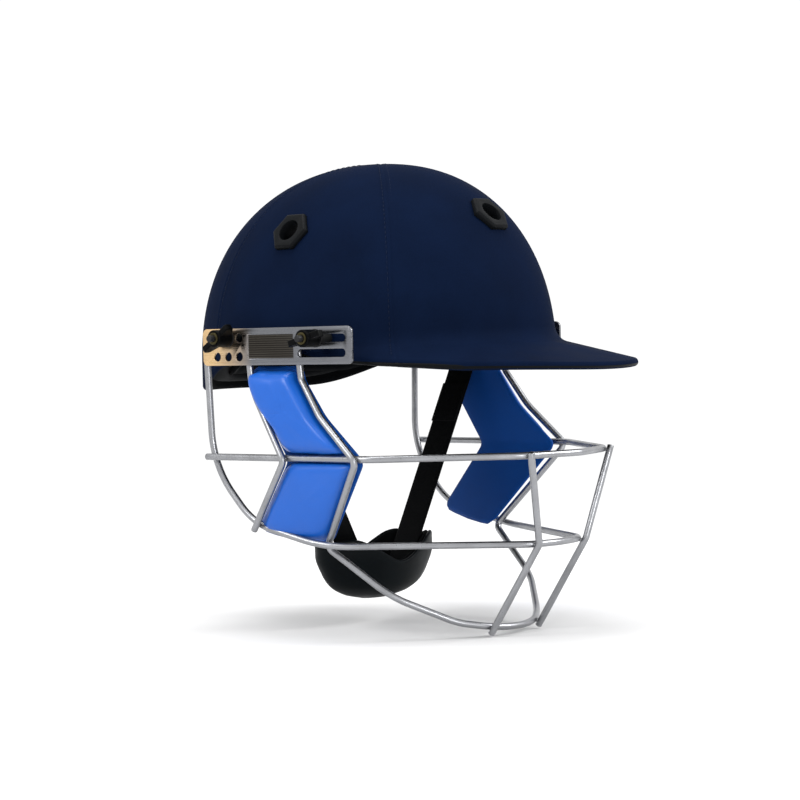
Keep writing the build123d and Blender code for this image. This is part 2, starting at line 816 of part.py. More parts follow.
def build_chin_cup():
    """Cup with a raised wing at each end and a low middle, and its soft lining."""
    points = [
        (0, notch_z), (notch_half_flat, notch_z), (wing_inner_x, wing_top_z),
        (wing_outer_x, wing_top_z), (cup_half_length + overrun, wing_end_z),
        (cup_half_length + overrun, cup_top_z + overrun + overrun), (0, cup_top_z + overrun + overrun),
    ]
    half_cut = Face(Wire.make_polygon([Vector(x, 0, z) for x, z in points]))
    reach = cup_half_width + overrun
    start = Pos(0, strap_y + cup_back + reach, reach * notch_slope_share) * half_cut
    cut = extrude(start, 2 * reach * sqrt(1 + notch_slope_share ** 2),
                  dir=(0, -1, -notch_slope_share))
    cut += mirror(cut, about=Plane.YZ)
    outside = cup_bowl(0)
    inside = cup_bowl(cup_wall)
    lining_outside = cup_bowl(cup_wall + lining_gap)
    lining_inside = cup_bowl(cup_wall + lining_gap + lining_thickness)
    return outside - inside - cut, lining_outside - lining_inside - cut


# Slider on the right strap
slider_length = 12.0
slider_wall = 2.0
slider_gap = 0.3
slider_z = -66.0
slider_corner = 1.2


def build_slider():
    """Flat loop round the right strap that holds the free end of the webbing."""
    run = Vector(strap_middle_x - strap_foot_x, 0, strap_foot_z - strap_bend_z)
    share = (strap_bend_z - slider_z) / (strap_bend_z - strap_foot_z)
    middle_x = -strap_middle_x + (strap_middle_x - strap_foot_x) * share
    plane = Plane(origin=(middle_x, strap_y, slider_z), x_dir=(0, 1, 0), z_dir=run)
    hole = Rectangle(strap_width + 2 * slider_gap, strap_thickness + 2 * slider_gap)
    outside = RectangleRounded(strap_width + 2 * (slider_gap + slider_wall),
                               strap_thickness + 2 * (slider_gap + slider_wall), slider_corner)
    return extrude(plane.offset(-slider_length / 2) * (outside - hole), slider_length)


def main():
    """Build every piece and write it to its own file."""
    shell_inset = cloth_thickness + shell_thickness
    outer_bell = bell(0)
    skin_bell = bell(cloth_thickness)
    inner_bell = bell(shell_inset)
    under_bell = bell(shell_inset + cloth_thickness)
    liner_bell = bell(shell_inset + glue_gap, False)
    head_bell = bell(shell_inset + glue_gap + liner_thickness, False)
    rim = below_rim()

    shell = (skin_bell & plan_column(cloth_thickness)) - inner_bell
    behind_peak = Pos(0, (rear_length - under_skin_start) / 2 + overrun, 0) * Box(
        2 * half_width + overrun, rear_length + under_skin_start, 2 * crown_height + overrun)
    cover = (outer_bell & plan_column(0)) - under_bell - shell - bell(shell_inset, False)
    cover = cover - (inner_bell & behind_peak)
    shell = shell - rim
    cover = cover - rim
    liner = liner_bell - head_bell - below_rim(liner_rise)

    vents, rings = build_vents(outer_bell)
    for plane in vent_planes.values():
        drill = vent_drill(plane, tube_radius + vent_hole_gap)
        shell -= drill
        cover -= drill
        liner -= vent_drill(plane, tube_radius + lock_ring_width + vent_hole_gap)

    bolts = []
    spacers = []
    parts = {}
    rivets = Compound(both_sides(build_rivet(shell, cover, inner_bell)))
    for name, (along, height) in bolt_places.items():
        bolts += both_sides(build_bolt(inner_bell, along, height))
        spacers += both_sides(build_spacer(along, height))
        right_nut = build_wing_nut(along, height, right_nut_turns[name])
        left_nut = mirror(build_wing_nut(along, height, left_nut_turns[name]), about=Plane.YZ)
        pieces = {
            "nut_washer": both_sides(build_washer(along, height)),
            "wing_nut": [right_nut, left_nut],
            "nut_insert": both_sides(build_insert(along, height)),
        }
        for piece_name, (right, left) in pieces.items():
            parts[f"{piece_name}_{name}_right"] = right
            parts[f"{piece_name}_{name}_left"] = left
        hole = rod_x_cylinder(bolt_radius + bolt_hole_gap, -half_width - overrun,
                              half_width + overrun, along, height)
        shell -= hole
        cover -= hole
        pocket = rod_x_cylinder(bolt_head_diameter / 2 + head_pocket_gap, -half_width,
                                -bolt_head_end(along, height) + head_inner_gap, along, height)
        for side in both_sides(pocket):
            liner -= side

    rivet_hole = rod_x_cylinder(rivet_radius + bolt_hole_gap, -half_width - overrun,
                                half_width + overrun, strap_y, strap_pivot_z)
    shell -= rivet_hole
    cover -= rivet_hole
    pocket_width = strap_pocket_front + strap_pocket_rear
    pocket_height = strap_pocket_top + skirt_depth
    pocket = Pos(-half_width + strap_pocket_depth / 2,
                 strap_y + (strap_pocket_rear - strap_pocket_front) / 2,
                 strap_pocket_top - pocket_height / 2) * Box(
                     strap_pocket_depth, pocket_width, pocket_height)
    for side in both_sides(pocket):
        liner -= side

    parts["shell"] = shell
    parts["cloth_cover"] = cover
    parts["impact_liner"] = liner
    parts.update(build_comfort_pads())
    for name, vent in vents.items():
        parts[f"vent_{name}"] = vent
    parts["vent_lock_rings"] = Compound(rings)
    parts["plate_bolts"] = Compound(bolts)
    parts["plate_spacers"] = Compound(spacers)
    parts["strap_rivets"] = rivets

    parts["upper_ring"] = rod(upper_ring_points(), upper_ring_bends)
    parts["lower_ring"] = rod(lower_ring_points(), lower_ring_bends)
    parts["chin_loop"] = rod(chin_loop_points(), chin_loop_bends)
    sided = {
        "side_plate": build_side_plate(),
        "rear_cheek_rod": rod(rear_cheek_points(), rear_cheek_bends),
        "front_bar": rod(front_bar_points(), [tight_bend]),
        "cheek_pad": build_cheek_pad(),
        "chin_strap": build_strap(),
    }
    for name, part in sided.items():
        parts[f"{name}_right"], parts[f"{name}_left"] = both_sides(part)
    parts["chin_cup"], parts["cup_lining"] = build_chin_cup()
    parts["strap_slider"] = build_slider()

    os.makedirs("parts", exist_ok=True)
    for name, part in parts.items():
        export_step(part, f"parts/{name}.step")


main()
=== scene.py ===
import bmesh
import bpy
import numpy as np
from math import asin, ceil, copysign, cos, hypot, pi, radians, sin, sqrt, tan
from mathutils import Matrix, Vector


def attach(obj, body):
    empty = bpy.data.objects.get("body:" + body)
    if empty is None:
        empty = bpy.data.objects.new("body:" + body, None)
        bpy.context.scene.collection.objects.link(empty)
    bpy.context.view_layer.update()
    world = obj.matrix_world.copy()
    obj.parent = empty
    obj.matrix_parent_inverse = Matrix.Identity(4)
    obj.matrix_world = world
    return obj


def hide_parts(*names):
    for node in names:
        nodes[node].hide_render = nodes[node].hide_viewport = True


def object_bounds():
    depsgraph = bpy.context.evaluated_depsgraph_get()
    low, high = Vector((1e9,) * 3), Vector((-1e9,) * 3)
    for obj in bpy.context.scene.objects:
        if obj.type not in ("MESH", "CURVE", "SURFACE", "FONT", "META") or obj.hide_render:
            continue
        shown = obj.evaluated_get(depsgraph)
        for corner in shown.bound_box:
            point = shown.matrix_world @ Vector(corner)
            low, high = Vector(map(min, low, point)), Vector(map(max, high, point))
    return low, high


# A cricket batting helmet. Shapes are worked out in millimetres and stored in metres.
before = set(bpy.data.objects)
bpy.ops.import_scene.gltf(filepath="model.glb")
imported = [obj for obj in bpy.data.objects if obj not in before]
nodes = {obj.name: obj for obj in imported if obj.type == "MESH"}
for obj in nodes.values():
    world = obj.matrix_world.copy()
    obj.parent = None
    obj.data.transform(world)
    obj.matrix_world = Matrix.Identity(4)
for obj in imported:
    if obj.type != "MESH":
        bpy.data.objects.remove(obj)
cad_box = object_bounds()
scene = bpy.context.scene
MM = 0.001
SIDES = (("right", -1), ("left", 1))

# Camera at the photograph's place
CAMERA_PLACE = (-1132.8, -946.4, 18.6)
CAMERA_RIGHT = (0.6357, -0.7715, -0.0245)
CAMERA_VIEW = (0.7709, 0.6362, -0.0297)
CAMERA_LENS = 104.775


def make_camera():
    data = bpy.data.cameras.new("camera")
    data.lens = CAMERA_LENS
    camera = bpy.data.objects.new("camera", data)
    scene.collection.objects.link(camera)
    view = Vector(CAMERA_VIEW).normalized()
    right = Vector(CAMERA_RIGHT).normalized()
    up = right.cross(view).normalized()
    turn = Matrix((right, up, -view)).transposed().to_4x4()
    camera.matrix_world = Matrix.Translation(Vector(CAMERA_PLACE) * MM) @ turn
    scene.camera = camera


make_camera()

# Meshes


def make_object(name, verts, faces, uvs=None):
    """Smooth mesh object from points in millimetres; uvs are per point."""
    mesh = bpy.data.meshes.new(name)
    mesh.from_pydata([(x * MM, y * MM, z * MM) for x, y, z in verts], [], faces)
    if uvs is not None:
        layer = mesh.uv_layers.new(name="UVMap")
        for loop in mesh.loops:
            layer.data[loop.index].uv = uvs[loop.vertex_index]
    mesh.shade_smooth()
    return link_mesh(name, mesh)


def link_mesh(name, mesh):
    """New object with a mesh, which may still be an edit mesh."""
    if isinstance(mesh, bmesh.types.BMesh):
        data = bpy.data.meshes.new(name)
        mesh.to_mesh(data)
        mesh.free()
        mesh = data
    piece = bpy.data.objects.new(name, mesh)
    scene.collection.objects.link(piece)
    return piece


def set_all(target, **settings):
    for setting, value in settings.items():
        setattr(target, setting, value)


def grid_faces(rows, columns, wrap_columns=False):
    faces = []
    for i in range(rows - 1):
        for j in range(columns if wrap_columns else columns - 1):
            a, b = i * columns + j, i * columns + (j + 1) % columns
            faces.append((a, b, b + columns, a + columns))
    return faces


def stack_faces(rings, around, first=0):
    """Faces of a stack of rings of points, closed at both ends."""
    faces = [tuple(first + index for index in face) for face in grid_faces(rings, around, True)]
    last = first + (rings - 1) * around
    return faces + [tuple(range(first, first + around))[::-1], tuple(range(last, last + around))]


def layer_faces(one, size, border):
    """Faces of two like layers of points and of the strip that joins their borders."""
    faces = one + [tuple(index + size for index in reversed(face)) for face in one]
    return faces + [(b, a, a + size, b + size) for a, b in zip(border, border[1:] + border[:1])]


def circle(centre, side, other, radius, count):
    turns = [2 * pi * step / count for step in range(count)]
    return [tuple(centre + (side * cos(turn) + other * sin(turn)) * radius) for turn in turns]


def tidy_mesh(piece, distance=0.00001):
    """Joins doubled points, drops flat faces and turns all faces outward."""
    mesh = bmesh.new()
    mesh.from_mesh(piece.data)
    if distance:
        bmesh.ops.remove_doubles(mesh, verts=mesh.verts, dist=distance)
        bmesh.ops.dissolve_degenerate(mesh, edges=mesh.edges, dist=distance)
    bmesh.ops.recalc_face_normals(mesh, faces=mesh.faces)
    mesh.to_mesh(piece.data)
    mesh.free()
    return piece


def set_sharp(piece, angle):
    """Smooth shading with edges past an angle, in degrees, left sharp."""
    piece.data.shade_smooth()
    piece.data.set_sharp_from_angle(angle=radians(angle))
    return piece


def modify(piece, kind, **settings):
    set_all(piece.modifiers.new(kind.lower(), kind), **settings)
    return piece


def apply_modifiers(piece):
    graph = bpy.context.evaluated_depsgraph_get()
    mesh = bpy.data.meshes.new_from_object(piece.evaluated_get(graph))
    piece.modifiers.clear()
    piece.data = mesh
    return piece


def copy_node(node, name):
    """New object with a copy of a CAD node's mesh, its points joined and flat faces merged."""
    mesh = bmesh.new()
    mesh.from_mesh(nodes[node].data)
    bmesh.ops.remove_doubles(mesh, verts=mesh.verts, dist=0.000002)
    bmesh.ops.dissolve_limit(mesh, angle_limit=radians(1.0), verts=mesh.verts, edges=mesh.edges)
    return link_mesh(name, mesh)


def bevelled(node, name, width):
    """Copy of a hard CAD node with small rounded edges."""
    piece = modify(copy_node(node, name), "BEVEL", width=width * MM, segments=2,
                   limit_method="ANGLE", angle_limit=radians(35))
    return set_sharp(apply_modifiers(piece), 40)


def rounded(node, name, voxel, passes):
    """Copy of a CAD node remeshed finely with all its edges softened."""
    piece = modify(copy_node(node, name), "REMESH", mode="VOXEL", voxel_size=voxel * MM)
    apply_modifiers(modify(piece, "SMOOTH", factor=0.5, iterations=passes))
    piece.data.shade_smooth()
    return piece


def dress(piece, body, slot, *replaced, look=None):
    """Gives a piece its body and material; the slot names the material unless look does."""
    piece.data.materials.clear()
    piece.data.materials.append(looks[look or slot])
    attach(piece, body)
    if replaced:
        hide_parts(*replaced)
    return piece

# Materials


def set_sockets(tree, node, sockets):
    """Links each named or numbered socket to an output, or sets it to a value."""
    for socket, value in sockets.items():
        if isinstance(value, bpy.types.NodeSocket):
            tree.links.new(value, node.inputs[socket])
        else:
            node.inputs[socket].default_value = value


def add_node(tree, kind, sockets, **settings):
    node = tree.nodes.new("ShaderNode" + kind)
    set_all(node, **settings)
    set_sockets(tree, node, sockets)
    return node


def new_material(name, color, roughness, metallic=0.0, mapped="Object"):
    material = bpy.data.materials.new(name)
    material.use_nodes = True
    tree = material.node_tree
    shader = tree.nodes["Principled BSDF"]
    set_sockets(tree, shader, {"Base Color": (*color, 1), "Roughness": roughness,
                               "Metallic": metallic})
    return material, tree, shader, add_node(tree, "TexCoord", {}).outputs[mapped]


def add_noise(tree, place, scale, detail=3.0, stretch=None):
    if stretch is not None:
        place = add_node(tree, "Mapping", {"Vector": place, "Scale": stretch}).outputs["Vector"]
    sockets = {"Vector": place, "Scale": scale, "Detail": detail}
    return add_node(tree, "TexNoise", sockets).outputs["Fac"]


def add_waves(tree, place, direction, scale, distortion):
    sockets = {"Vector": place, "Scale": scale, "Distortion": distortion}
    return add_node(tree, "TexWave", sockets, bands_direction=direction).outputs["Fac"]


def add_range(tree, value, low, high, start=0.3, end=0.7, **settings):
    sockets = {"Value": value, "From Min": start, "From Max": end, "To Min": low, "To Max": high}
    return add_node(tree, "MapRange", sockets, **settings).outputs["Result"]


def add_ramp(tree, value, low_color, high_color, start=0.3, end=0.7):
    ramp = add_node(tree, "ValToRGB", {"Fac": value})
    ends = zip(ramp.color_ramp.elements, (start, end), (low_color, high_color))
    for element, position, color in ends:
        element.position = position
        element.color = (*color, 1)
    return ramp.outputs["Color"]


def add_bump(tree, shader, height, distance, strength, normal=None):
    sockets = {"Strength": strength, "Distance": distance * MM, "Height": height}
    if normal is not None:
        sockets["Normal"] = normal
    bump = add_node(tree, "Bump", sockets).outputs["Normal"]
    tree.links.new(bump, shader.inputs["Normal"])
    return bump


def combine(tree, *values, operation="MULTIPLY"):
    return add_node(tree, "Math", dict(enumerate(values)), operation=operation).outputs["Value"]


def shade(color, factor):
    return tuple(part * factor for part in color)


def cloth_material(name, color, weave_scale, roughness, relief, contrast, gloss):
    """Cloth: fine threads and slow changes of tone."""
    material, tree, shader, place = new_material(name, color, roughness)
    threads = add_noise(tree, place, weave_scale, 2.0)
    tone = add_noise(tree, place, 28.0, 4.0)
    mix = combine(tree, threads, 0.45, tone, operation="MULTIPLY_ADD")
    set_sockets(tree, shader, {
        "Base Color": add_ramp(tree, mix, shade(color, 1 - contrast), shade(color, 1 + contrast),
                               0.45, 0.95),
        "Roughness": add_range(tree, tone, roughness - 0.06, roughness + 0.06),
        "Specular IOR Level": gloss})
    coarse = add_bump(tree, shader, tone, 0.6, 0.25)
    add_bump(tree, shader, threads, relief, 0.6, coarse)
    return material


def webbing_material(name, color):
    """Woven tape: ribs across the band from its own band coordinates, in millimetres."""
    material, tree, shader, place = new_material(name, color, 0.62, mapped="UV")
    weave = combine(tree, add_waves(tree, place, "X", 0.55, 0.3),
                    add_waves(tree, place, "Y", 0.32, 0.3))
    set_sockets(tree, shader, {
        "Base Color": add_ramp(tree, weave, shade(color, 0.75), shade(color, 1.3), 0.1, 0.9),
        "Specular IOR Level": 0.03,
        "Sheen Weight": 0.02})
    add_bump(tree, shader, weave, 0.12, 0.6)
    return material


def plastic_material(name, color, roughness, grain, coat, gloss):
    """Moulded plastic: slight grain, uneven gloss and faint scuffs."""
    material, tree, shader, place = new_material(name, color, roughness)
    slow = add_noise(tree, place, 60.0, 5.0)
    set_sockets(tree, shader, {
        "Base Color": add_ramp(tree, slow, shade(color, 0.8), shade(color, 1.25)),
        "Roughness": add_range(tree, slow, roughness - 0.07, roughness + 0.1),
        "Coat Weight": coat,
        "Specular IOR Level": gloss})
    add_bump(tree, shader, add_noise(tree, place, 1500.0, 2.0), grain, 0.5)
    return material


def metal_material(name, color, roughness, relief):
    """Metal: small changes of tone and gloss."""
    material, tree, shader, place = new_material(name, color, roughness, 1.0)
    fine = add_noise(tree, place, 900.0)
    slow = add_noise(tree, place, 70.0, 4.0)
    set_sockets(tree, shader, {
        "Base Color": add_ramp(tree, slow, shade(color, 0.86), shade(color, 1.08)),
        "Roughness": add_range(tree, fine, roughness - 0.07, roughness + 0.1)})
    add_bump(tree, shader, fine, relief, 0.5)
    return material


def plate_material(name):
    """Brushed steel with a painted warm reflection over its rear end and a darker etched field in
    the shallow panel.
    """
    steel, painted_reflection_steel = (0.17, 0.175, 0.19), (0.68, 0.47, 0.25)
    hollow, ridge = (0.02, 0.018, 0.016), (0.06, 0.054, 0.046)
    material, tree, shader, place = new_material(name, steel, 0.27, 1.0)
    parts = add_node(tree, "SeparateXYZ", {"Vector": place})
    along, height = parts.outputs["Y"], parts.outputs["Z"]
    lines = add_noise(tree, place, 900.0, 3.0, (1, 0.03, 1))
    # Painted reflection: the steel turns a warm gold towards the plate's rear end
    painted_reflection_share = add_range(tree, along, 0.0, 1.0, 0.0, 0.05)
    metal = add_ramp(tree, painted_reflection_share, steel, painted_reflection_steel, 0.35, 1.0)
    # Each edge of the field, in metres: 0 outside of it and 1 inside
    edges = [add_range(tree, value, 0.0, 1.0, outside, inside) for value, outside, inside in (
        (along, -0.0166, -0.0160), (along, 0.0204, 0.0198),
        (height, 0.0038, 0.0043), (height, 0.0187, 0.0182))]
    field = combine(tree, combine(tree, *edges[:2]), combine(tree, *edges[2:]))
    etched = add_ramp(tree, add_waves(tree, place, "Z", 240.0, 0.4), hollow, ridge, 0.3, 1.0)
    mix = add_node(tree, "Mix", {"Factor": field, "A": metal, "B": etched}, data_type="RGBA")
    set_sockets(tree, shader, {"Base Color": mix.outputs["Result"],
                               "Roughness": add_range(tree, lines, 0.2, 0.38)})
    add_bump(tree, shader, lines, 0.012, 0.5)
    return material


NAVY = (0.0024, 0.0060, 0.0195)
PAD_BLUE = (0.0045, 0.088, 0.43)
BLACK = (0.0014, 0.0017, 0.0021)
looks = {name: make(name, *values) for make, rows in (
    # Colour, scale of the weave, roughness, relief, contrast and gloss
    (cloth_material, {
        "cover_cloth": (NAVY, 1500.0, 0.7, 0.07, 0.2, 0.01),
        "pad_cloth": (PAD_BLUE, 1100.0, 0.33, 0.02, 0.05, 0.36),
        # The pads' bases use the pad cloth at half brightness: painted shade beside the rods and on
        # the pads' inner sides
        "pad_back_cloth": (shade(PAD_BLUE, 0.5), 1100.0, 0.5, 0.03, 0.08, 0.08),
        "comfort_cloth": (shade(BLACK, 1.5), 700.0, 0.85, 0.15, 0.3, 0.04),
        "cup_cloth": (BLACK, 800.0, 0.85, 0.12, 0.3, 0.04),
        "foam_cells": (shade(BLACK, 2), 420.0, 0.8, 0.25, 0.35, 0.04),
        "stitch_thread": (shade(NAVY, 1.15), 3000.0, 0.6, 0.02, 0.1, 0.1)}),
    (webbing_material, {"webbing": (BLACK,)}),
    # Colour, roughness, grain, coat and gloss
    (plastic_material, {
        "shell_plastic": (shade(BLACK, 1.5), 0.5, 0.05, 0.0, 0.06),
        "vent_plastic": (shade(BLACK, 2), 0.5, 0.04, 0.0, 0.06),
        "cup_plastic": ((0.0016, 0.0028, 0.0036), 0.42, 0.03, 0.0, 0.06),
        "nut_plastic": (shade(BLACK, 0.7), 0.4, 0.03, 0.0, 0.05),
        "slider_plastic": (BLACK, 0.35, 0.02, 0.0, 0.2),
        "spacer_rubber": (BLACK, 0.7, 0.05, 0.0, 0.2),
        "rivet_lacquer": (BLACK, 0.3, 0.01, 0.2, 0.2)}),
    # Colour, roughness and relief
    (metal_material, {
        "guard_steel": ((0.31, 0.315, 0.33), 0.33, 0.012),
        "bolt_steel": ((0.035, 0.035, 0.036), 0.45, 0.01),
        "insert_brass": ((0.055, 0.047, 0.022), 0.4, 0.01)}),
    (plate_material, {"plate_steel": ()})) for name, values in rows.items()}

# Dome and peak, as the solids have them
HALF, FRONT, REAR, CROWN, EXPONENT = 98.0, 114.0, 130.0, 124.0, 2.2
REACH, TIP_DROP, ROOT_RADIUS, PEAK_EXPONENT, BULGE, SIDE_MARGIN = 175.0, 2.6, 10.0, 2.3, 0.7, 1.0
SLOPE = radians(13)
PEAK_TURN = pi / 2 - SLOPE
OVERHANG = REACH - FRONT
CLOTH, SHELL, GLUE, LINER = 0.8, 3.0, 0.25, 13.5


def line_height(flare, inset):
    return (OVERHANG + inset - flare) * tan(SLOPE) - TIP_DROP - inset / cos(SLOPE)


def root_arc(inset):
    radius = ROOT_RADIUS + inset
    reach = radius * (1 - cos(PEAK_TURN))
    bottom = line_height(reach, inset)
    return radius, reach, bottom + radius * sin(PEAK_TURN), bottom


def oval_radius(angle, half, front, rear, power):
    """Radius of an outline that is an ellipse behind and a fuller oval in front."""
    c, s = abs(cos(angle)), sin(angle)
    if s >= 0:
        return 1 / hypot(c / half, s / rear)
    return ((c / half) ** power + (-s / front) ** power) ** (-1 / power)


def level_radius(angle, height, inset, peaked=True):
    """Distance of a layer's surface from the upright through the origin, at an angle from +X."""
    top = CROWN - inset
    share = 1.0
    if height > 0:
        share = max(0.0, 1 - (height / top) ** EXPONENT) ** (1 / EXPONENT)
    flare = 0.0
    if peaked:
        radius, reach, arc_top, arc_bottom = root_arc(inset)
        if height < arc_bottom:
            flare = reach + (arc_bottom - height) / tan(SLOPE)
        elif height < arc_top:
            flare = radius - sqrt(max(0.0, radius ** 2 - (arc_top - height) ** 2))
    half, front, rear = (max((length - inset) * share + more, 0.000001)
                         for length, more in ((HALF, 0.0), (FRONT, flare), (REAR, 0.0)))
    return oval_radius(angle, half, front, rear, 2 + BULGE * flare / OVERHANG)


def plan_radius(angle):
    """The peak's outline seen from above; behind, it stays clear of the dome."""
    return oval_radius(angle, HALF + SIDE_MARGIN, REACH, REAR + 5, PEAK_EXPONENT)


def clamp(value):
    return min(max(value, 0.0), 1.0)


def rim_height(along):
    """The rim falls a little towards the peak, and curves down to the neck behind."""
    if along < -32:
        return (along + 32) * 0.085
    share = clamp((along - 50) / 62)
    return -17 * share * share * (3 - 2 * share)


DOME_ROWS, ARC_ROWS, LINE_ROWS, EDGE_ROWS, UNDER_ROWS = 44, 10, 14, 8, 14
PLAIN_TOP = 20.0  # where the dome's rows end on a layer without a peak
SEAM_ANGLES = [radians(a) for a in (-43, -137, 38, 142)]
SEAM_OFFSETS = (0.0, 0.35, 0.8, 1.4, 2.2, 3.4)
SEAM_CLEAR, SEAM_RADIUS = 4.4, 105


def narrow(low, high, past):
    """The two ends of a range, narrowed to where past() turns true."""
    for _ in range(40):
        middle = (low + high) / 2
        if past(middle):
            high = middle
        else:
            low = middle
    return low, high


def edge_height(angle, inset, trim, rise, peaked):
    """Height where a layer's profile stops, at the rim or at the outline of the peak."""
    def above(height):
        radius = level_radius(angle, height, inset, peaked)
        room = height - rim_height(radius * sin(angle)) - rise - trim
        if peaked and sin(angle) < 0:
            room = min(room, plan_radius(angle) - trim - radius)
        return room > 0
    return narrow(-30.0, root_arc(inset)[2] if peaked else PLAIN_TOP, above)[1]


def profile(angle, inset, trim, rise, peaked):
    """Points (radius, height) of a layer from the crown to its edge."""
    top = CROWN - inset
    radius, _, start, arc_bottom = root_arc(inset)
    if not peaked:
        start = PLAIN_TOP
    turn_end = asin((start / top) ** (EXPONENT / 2))
    turns = [pi / 2 + (turn_end - pi / 2) * step / DOME_ROWS for step in range(DOME_ROWS)]
    heights = [top * sin(turn) ** (2 / EXPONENT) for turn in turns]
    end = edge_height(angle, inset, trim, rise, peaked)
    if peaked:
        arc_bottom = max(arc_bottom, end + 0.5)
        for step in range(ARC_ROWS):
            full = radius * sin(PEAK_TURN * step / ARC_ROWS)
            heights.append(start - full * (start - arc_bottom) / (radius * sin(PEAK_TURN)))
        start = arc_bottom
    heights += [start + (end - start) * step / LINE_ROWS for step in range(LINE_ROWS + 1)]
    return [(level_radius(angle, height, inset, peaked), height) for height in heights]


def column_angles(count, seams=()):
    """Angles round the dome, closer together beside each seam."""
    base = [2 * pi * step / count for step in range(count)]
    clear = SEAM_CLEAR / SEAM_RADIUS
    kept = [a for a in base if all(abs((a - seam + pi) % (2 * pi) - pi) > clear for seam in seams)]
    for seam in seams:
        for offset in SEAM_OFFSETS:
            for side in ((1,) if offset == 0 else (-1, 1)):
                kept.append((seam + side * offset / SEAM_RADIUS) % (2 * pi))
    return sorted(kept)


def rounded_edge(outer, inner, half_thickness):
    """Half circle in the (radius, height) plane that joins two profile ends."""
    (r0, z0), (r1, z1) = outer, inner
    middle = ((r0 + r1) / 2, (z0 + z1) / 2)
    across = ((r0 - r1) / 2, (z0 - z1) / 2)
    size = hypot(*across) or 1.0
    out = (across[1] / size * half_thickness, -across[0] / size * half_thickness)
    points = []
    for step in range(1, EDGE_ROWS):
        turn = pi * step / EDGE_ROWS
        points.append((middle[0] + across[0] * cos(turn) + out[0] * sin(turn),
                       middle[1] + across[1] * cos(turn) + out[1] * sin(turn)))
    return points


def seam_sink(angle, radius):
    """How far a seam pulls the cloth in, beside how far it puffs up next to it."""
    sink = 0.0
    for seam in SEAM_ANGLES:
        away = abs((angle - seam + pi) % (2 * pi) - pi) * radius
        if away < 8:
            sink += 0.34 * np.exp(-(away / 0.75) ** 2) - 0.16 * np.exp(-((away - 2.1) / 1.1) ** 2)
    return sink * min(1.0, radius / 14)


def wall_object(name, outer_inset, inner_inset, peaked, rise, angles, edge=None, turned_in=False):
    """Closed wall between two layers, or a seamed sheet turned in under the rim; round edge."""
    edge = edge or (inner_inset - outer_inset) / 2
    columns = []
    for angle in angles:
        outer = profile(angle, outer_inset, edge, rise, peaked)
        inner = profile(angle, inner_inset, edge, rise, peaked)
        if turned_in:
            sinks = [(seam_sink(angle, r), min(1.0, r / HALF)) for r, _ in outer]
            outer = [(r - sink * steep, z - sink * (1 - steep))
                     for (r, z), (sink, steep) in zip(outer, sinks)]
            start = inner[-1][1]
            low = underside_top(angle, start)
            levels = [low + (start - low) * step / UNDER_ROWS for step in range(UNDER_ROWS + 1)]
            inner = [(level_radius(angle, level, inner_inset, peaked), level) for level in levels]
        columns.append(outer + rounded_edge(outer[-1], inner[-1], edge) + inner[::-1])
    rows = len(columns[0])
    verts = [(column[row][0] * cos(a), column[row][0] * sin(a), column[row][1])
             for row in range(rows) for a, column in zip(angles, columns)]
    return tidy_mesh(make_object(name, verts, grid_faces(rows, len(angles), True)))


def underside_top(angle, start):
    """The cloth runs under the peak as far as the liner, and elsewhere is only turned in."""
    height, limit, top = start, start + 4.2, 16.0
    while height < top:
        room = (level_radius(angle, height, CLOTH * 2 + SHELL, True)
                - level_radius(angle, height, CLOTH + SHELL + GLUE, False))
        if height > limit and room < 0.7:
            break
        height += 0.5
    return max(min(height, top), limit)


# Vents' places, as the solids have them
VENTS = ("front", "rear", "right", "left")
VENT_END_Z, VENT_SIDE_Z, VENT_SIDE_Y = 88.0, 80.0, 6.0


def vent_frame(direction):
    """Place on the dome and outward direction of a vent."""
    height = VENT_END_Z if direction in ("front", "rear") else VENT_SIDE_Z
    share = (1 - (height / CROWN) ** EXPONENT) ** (1 / EXPONENT)
    x = HALF * share * sqrt(1 - (VENT_SIDE_Y / (REAR * share)) ** 2)
    x, y = {"front": (0, -FRONT * share), "rear": (0, REAR * share),
            "right": (-x, VENT_SIDE_Y), "left": (x, VENT_SIDE_Y)}[direction]
    place = Vector((x, y, height))
    length = REAR if place.y > 0 else FRONT
    fall = hypot(place.x / HALF, place.y / length) ** (EXPONENT - 2)
    normal = Vector((fall * place.x / HALF ** 2, fall * place.y / length ** 2,
                     (place.z / CROWN) ** (EXPONENT - 1) / CROWN))
    return place, normal.normalized()


def cut_vents(piece, radius):
    """Cuts the four round vent holes through a wall."""
    around, inward, outward = 40, -34, 12
    verts, faces = [], []
    for direction in VENTS:
        place, normal = vent_frame(direction)
        side = normal.orthogonal().normalized()
        other = normal.cross(side)
        faces += stack_faces(2, around, len(verts))
        for depth in (inward, outward):
            verts += circle(place + normal * depth, side, other, radius, around)
    cutter = make_object("cutter", verts, faces)
    apply_modifiers(modify(piece, "BOOLEAN", operation="DIFFERENCE", solver="EXACT", object=cutter))
    bpy.data.objects.remove(cutter)
    return set_sharp(piece, 50)


def build_dome():
    seam_angles = column_angles(216, SEAM_ANGLES)
    cover = wall_object("cover_cloth_skin", 0.0, CLOTH * 2 + SHELL, True, 0.0, seam_angles,
                        turned_in=True)
    cut_vents(apply_modifiers(modify(cover, "SOLIDIFY", thickness=0.7 * MM, offset=-1)), 10.6)
    dress(cover, "helmet", "cloth", "cloth_cover", look="cover_cloth")
    cover.data.materials.append(looks["comfort_cloth"])
    for face in cover.data.polygons:
        out = Vector((face.center.x, face.center.y, 0)).normalized()
        if face.normal.dot(out) < -0.2:
            face.material_index = 1
    # The wall starts a little under the cloth, so that it shows nowhere through it
    shell = wall_object("shell_wall", CLOTH + 0.3, CLOTH + SHELL, True, 1.5, seam_angles)
    dress(cut_vents(shell, 10.4), "helmet", "shell_plastic", "shell")
    outer = CLOTH + SHELL + GLUE
    liner = wall_object("liner_foam", outer, outer + LINER, False, 5.0, column_angles(144), 4.0)
    dress(cut_vents(liner, 13.8), "helmet", "foam", "impact_liner", look="foam_cells")


build_dome()

# Stitching beside the seams


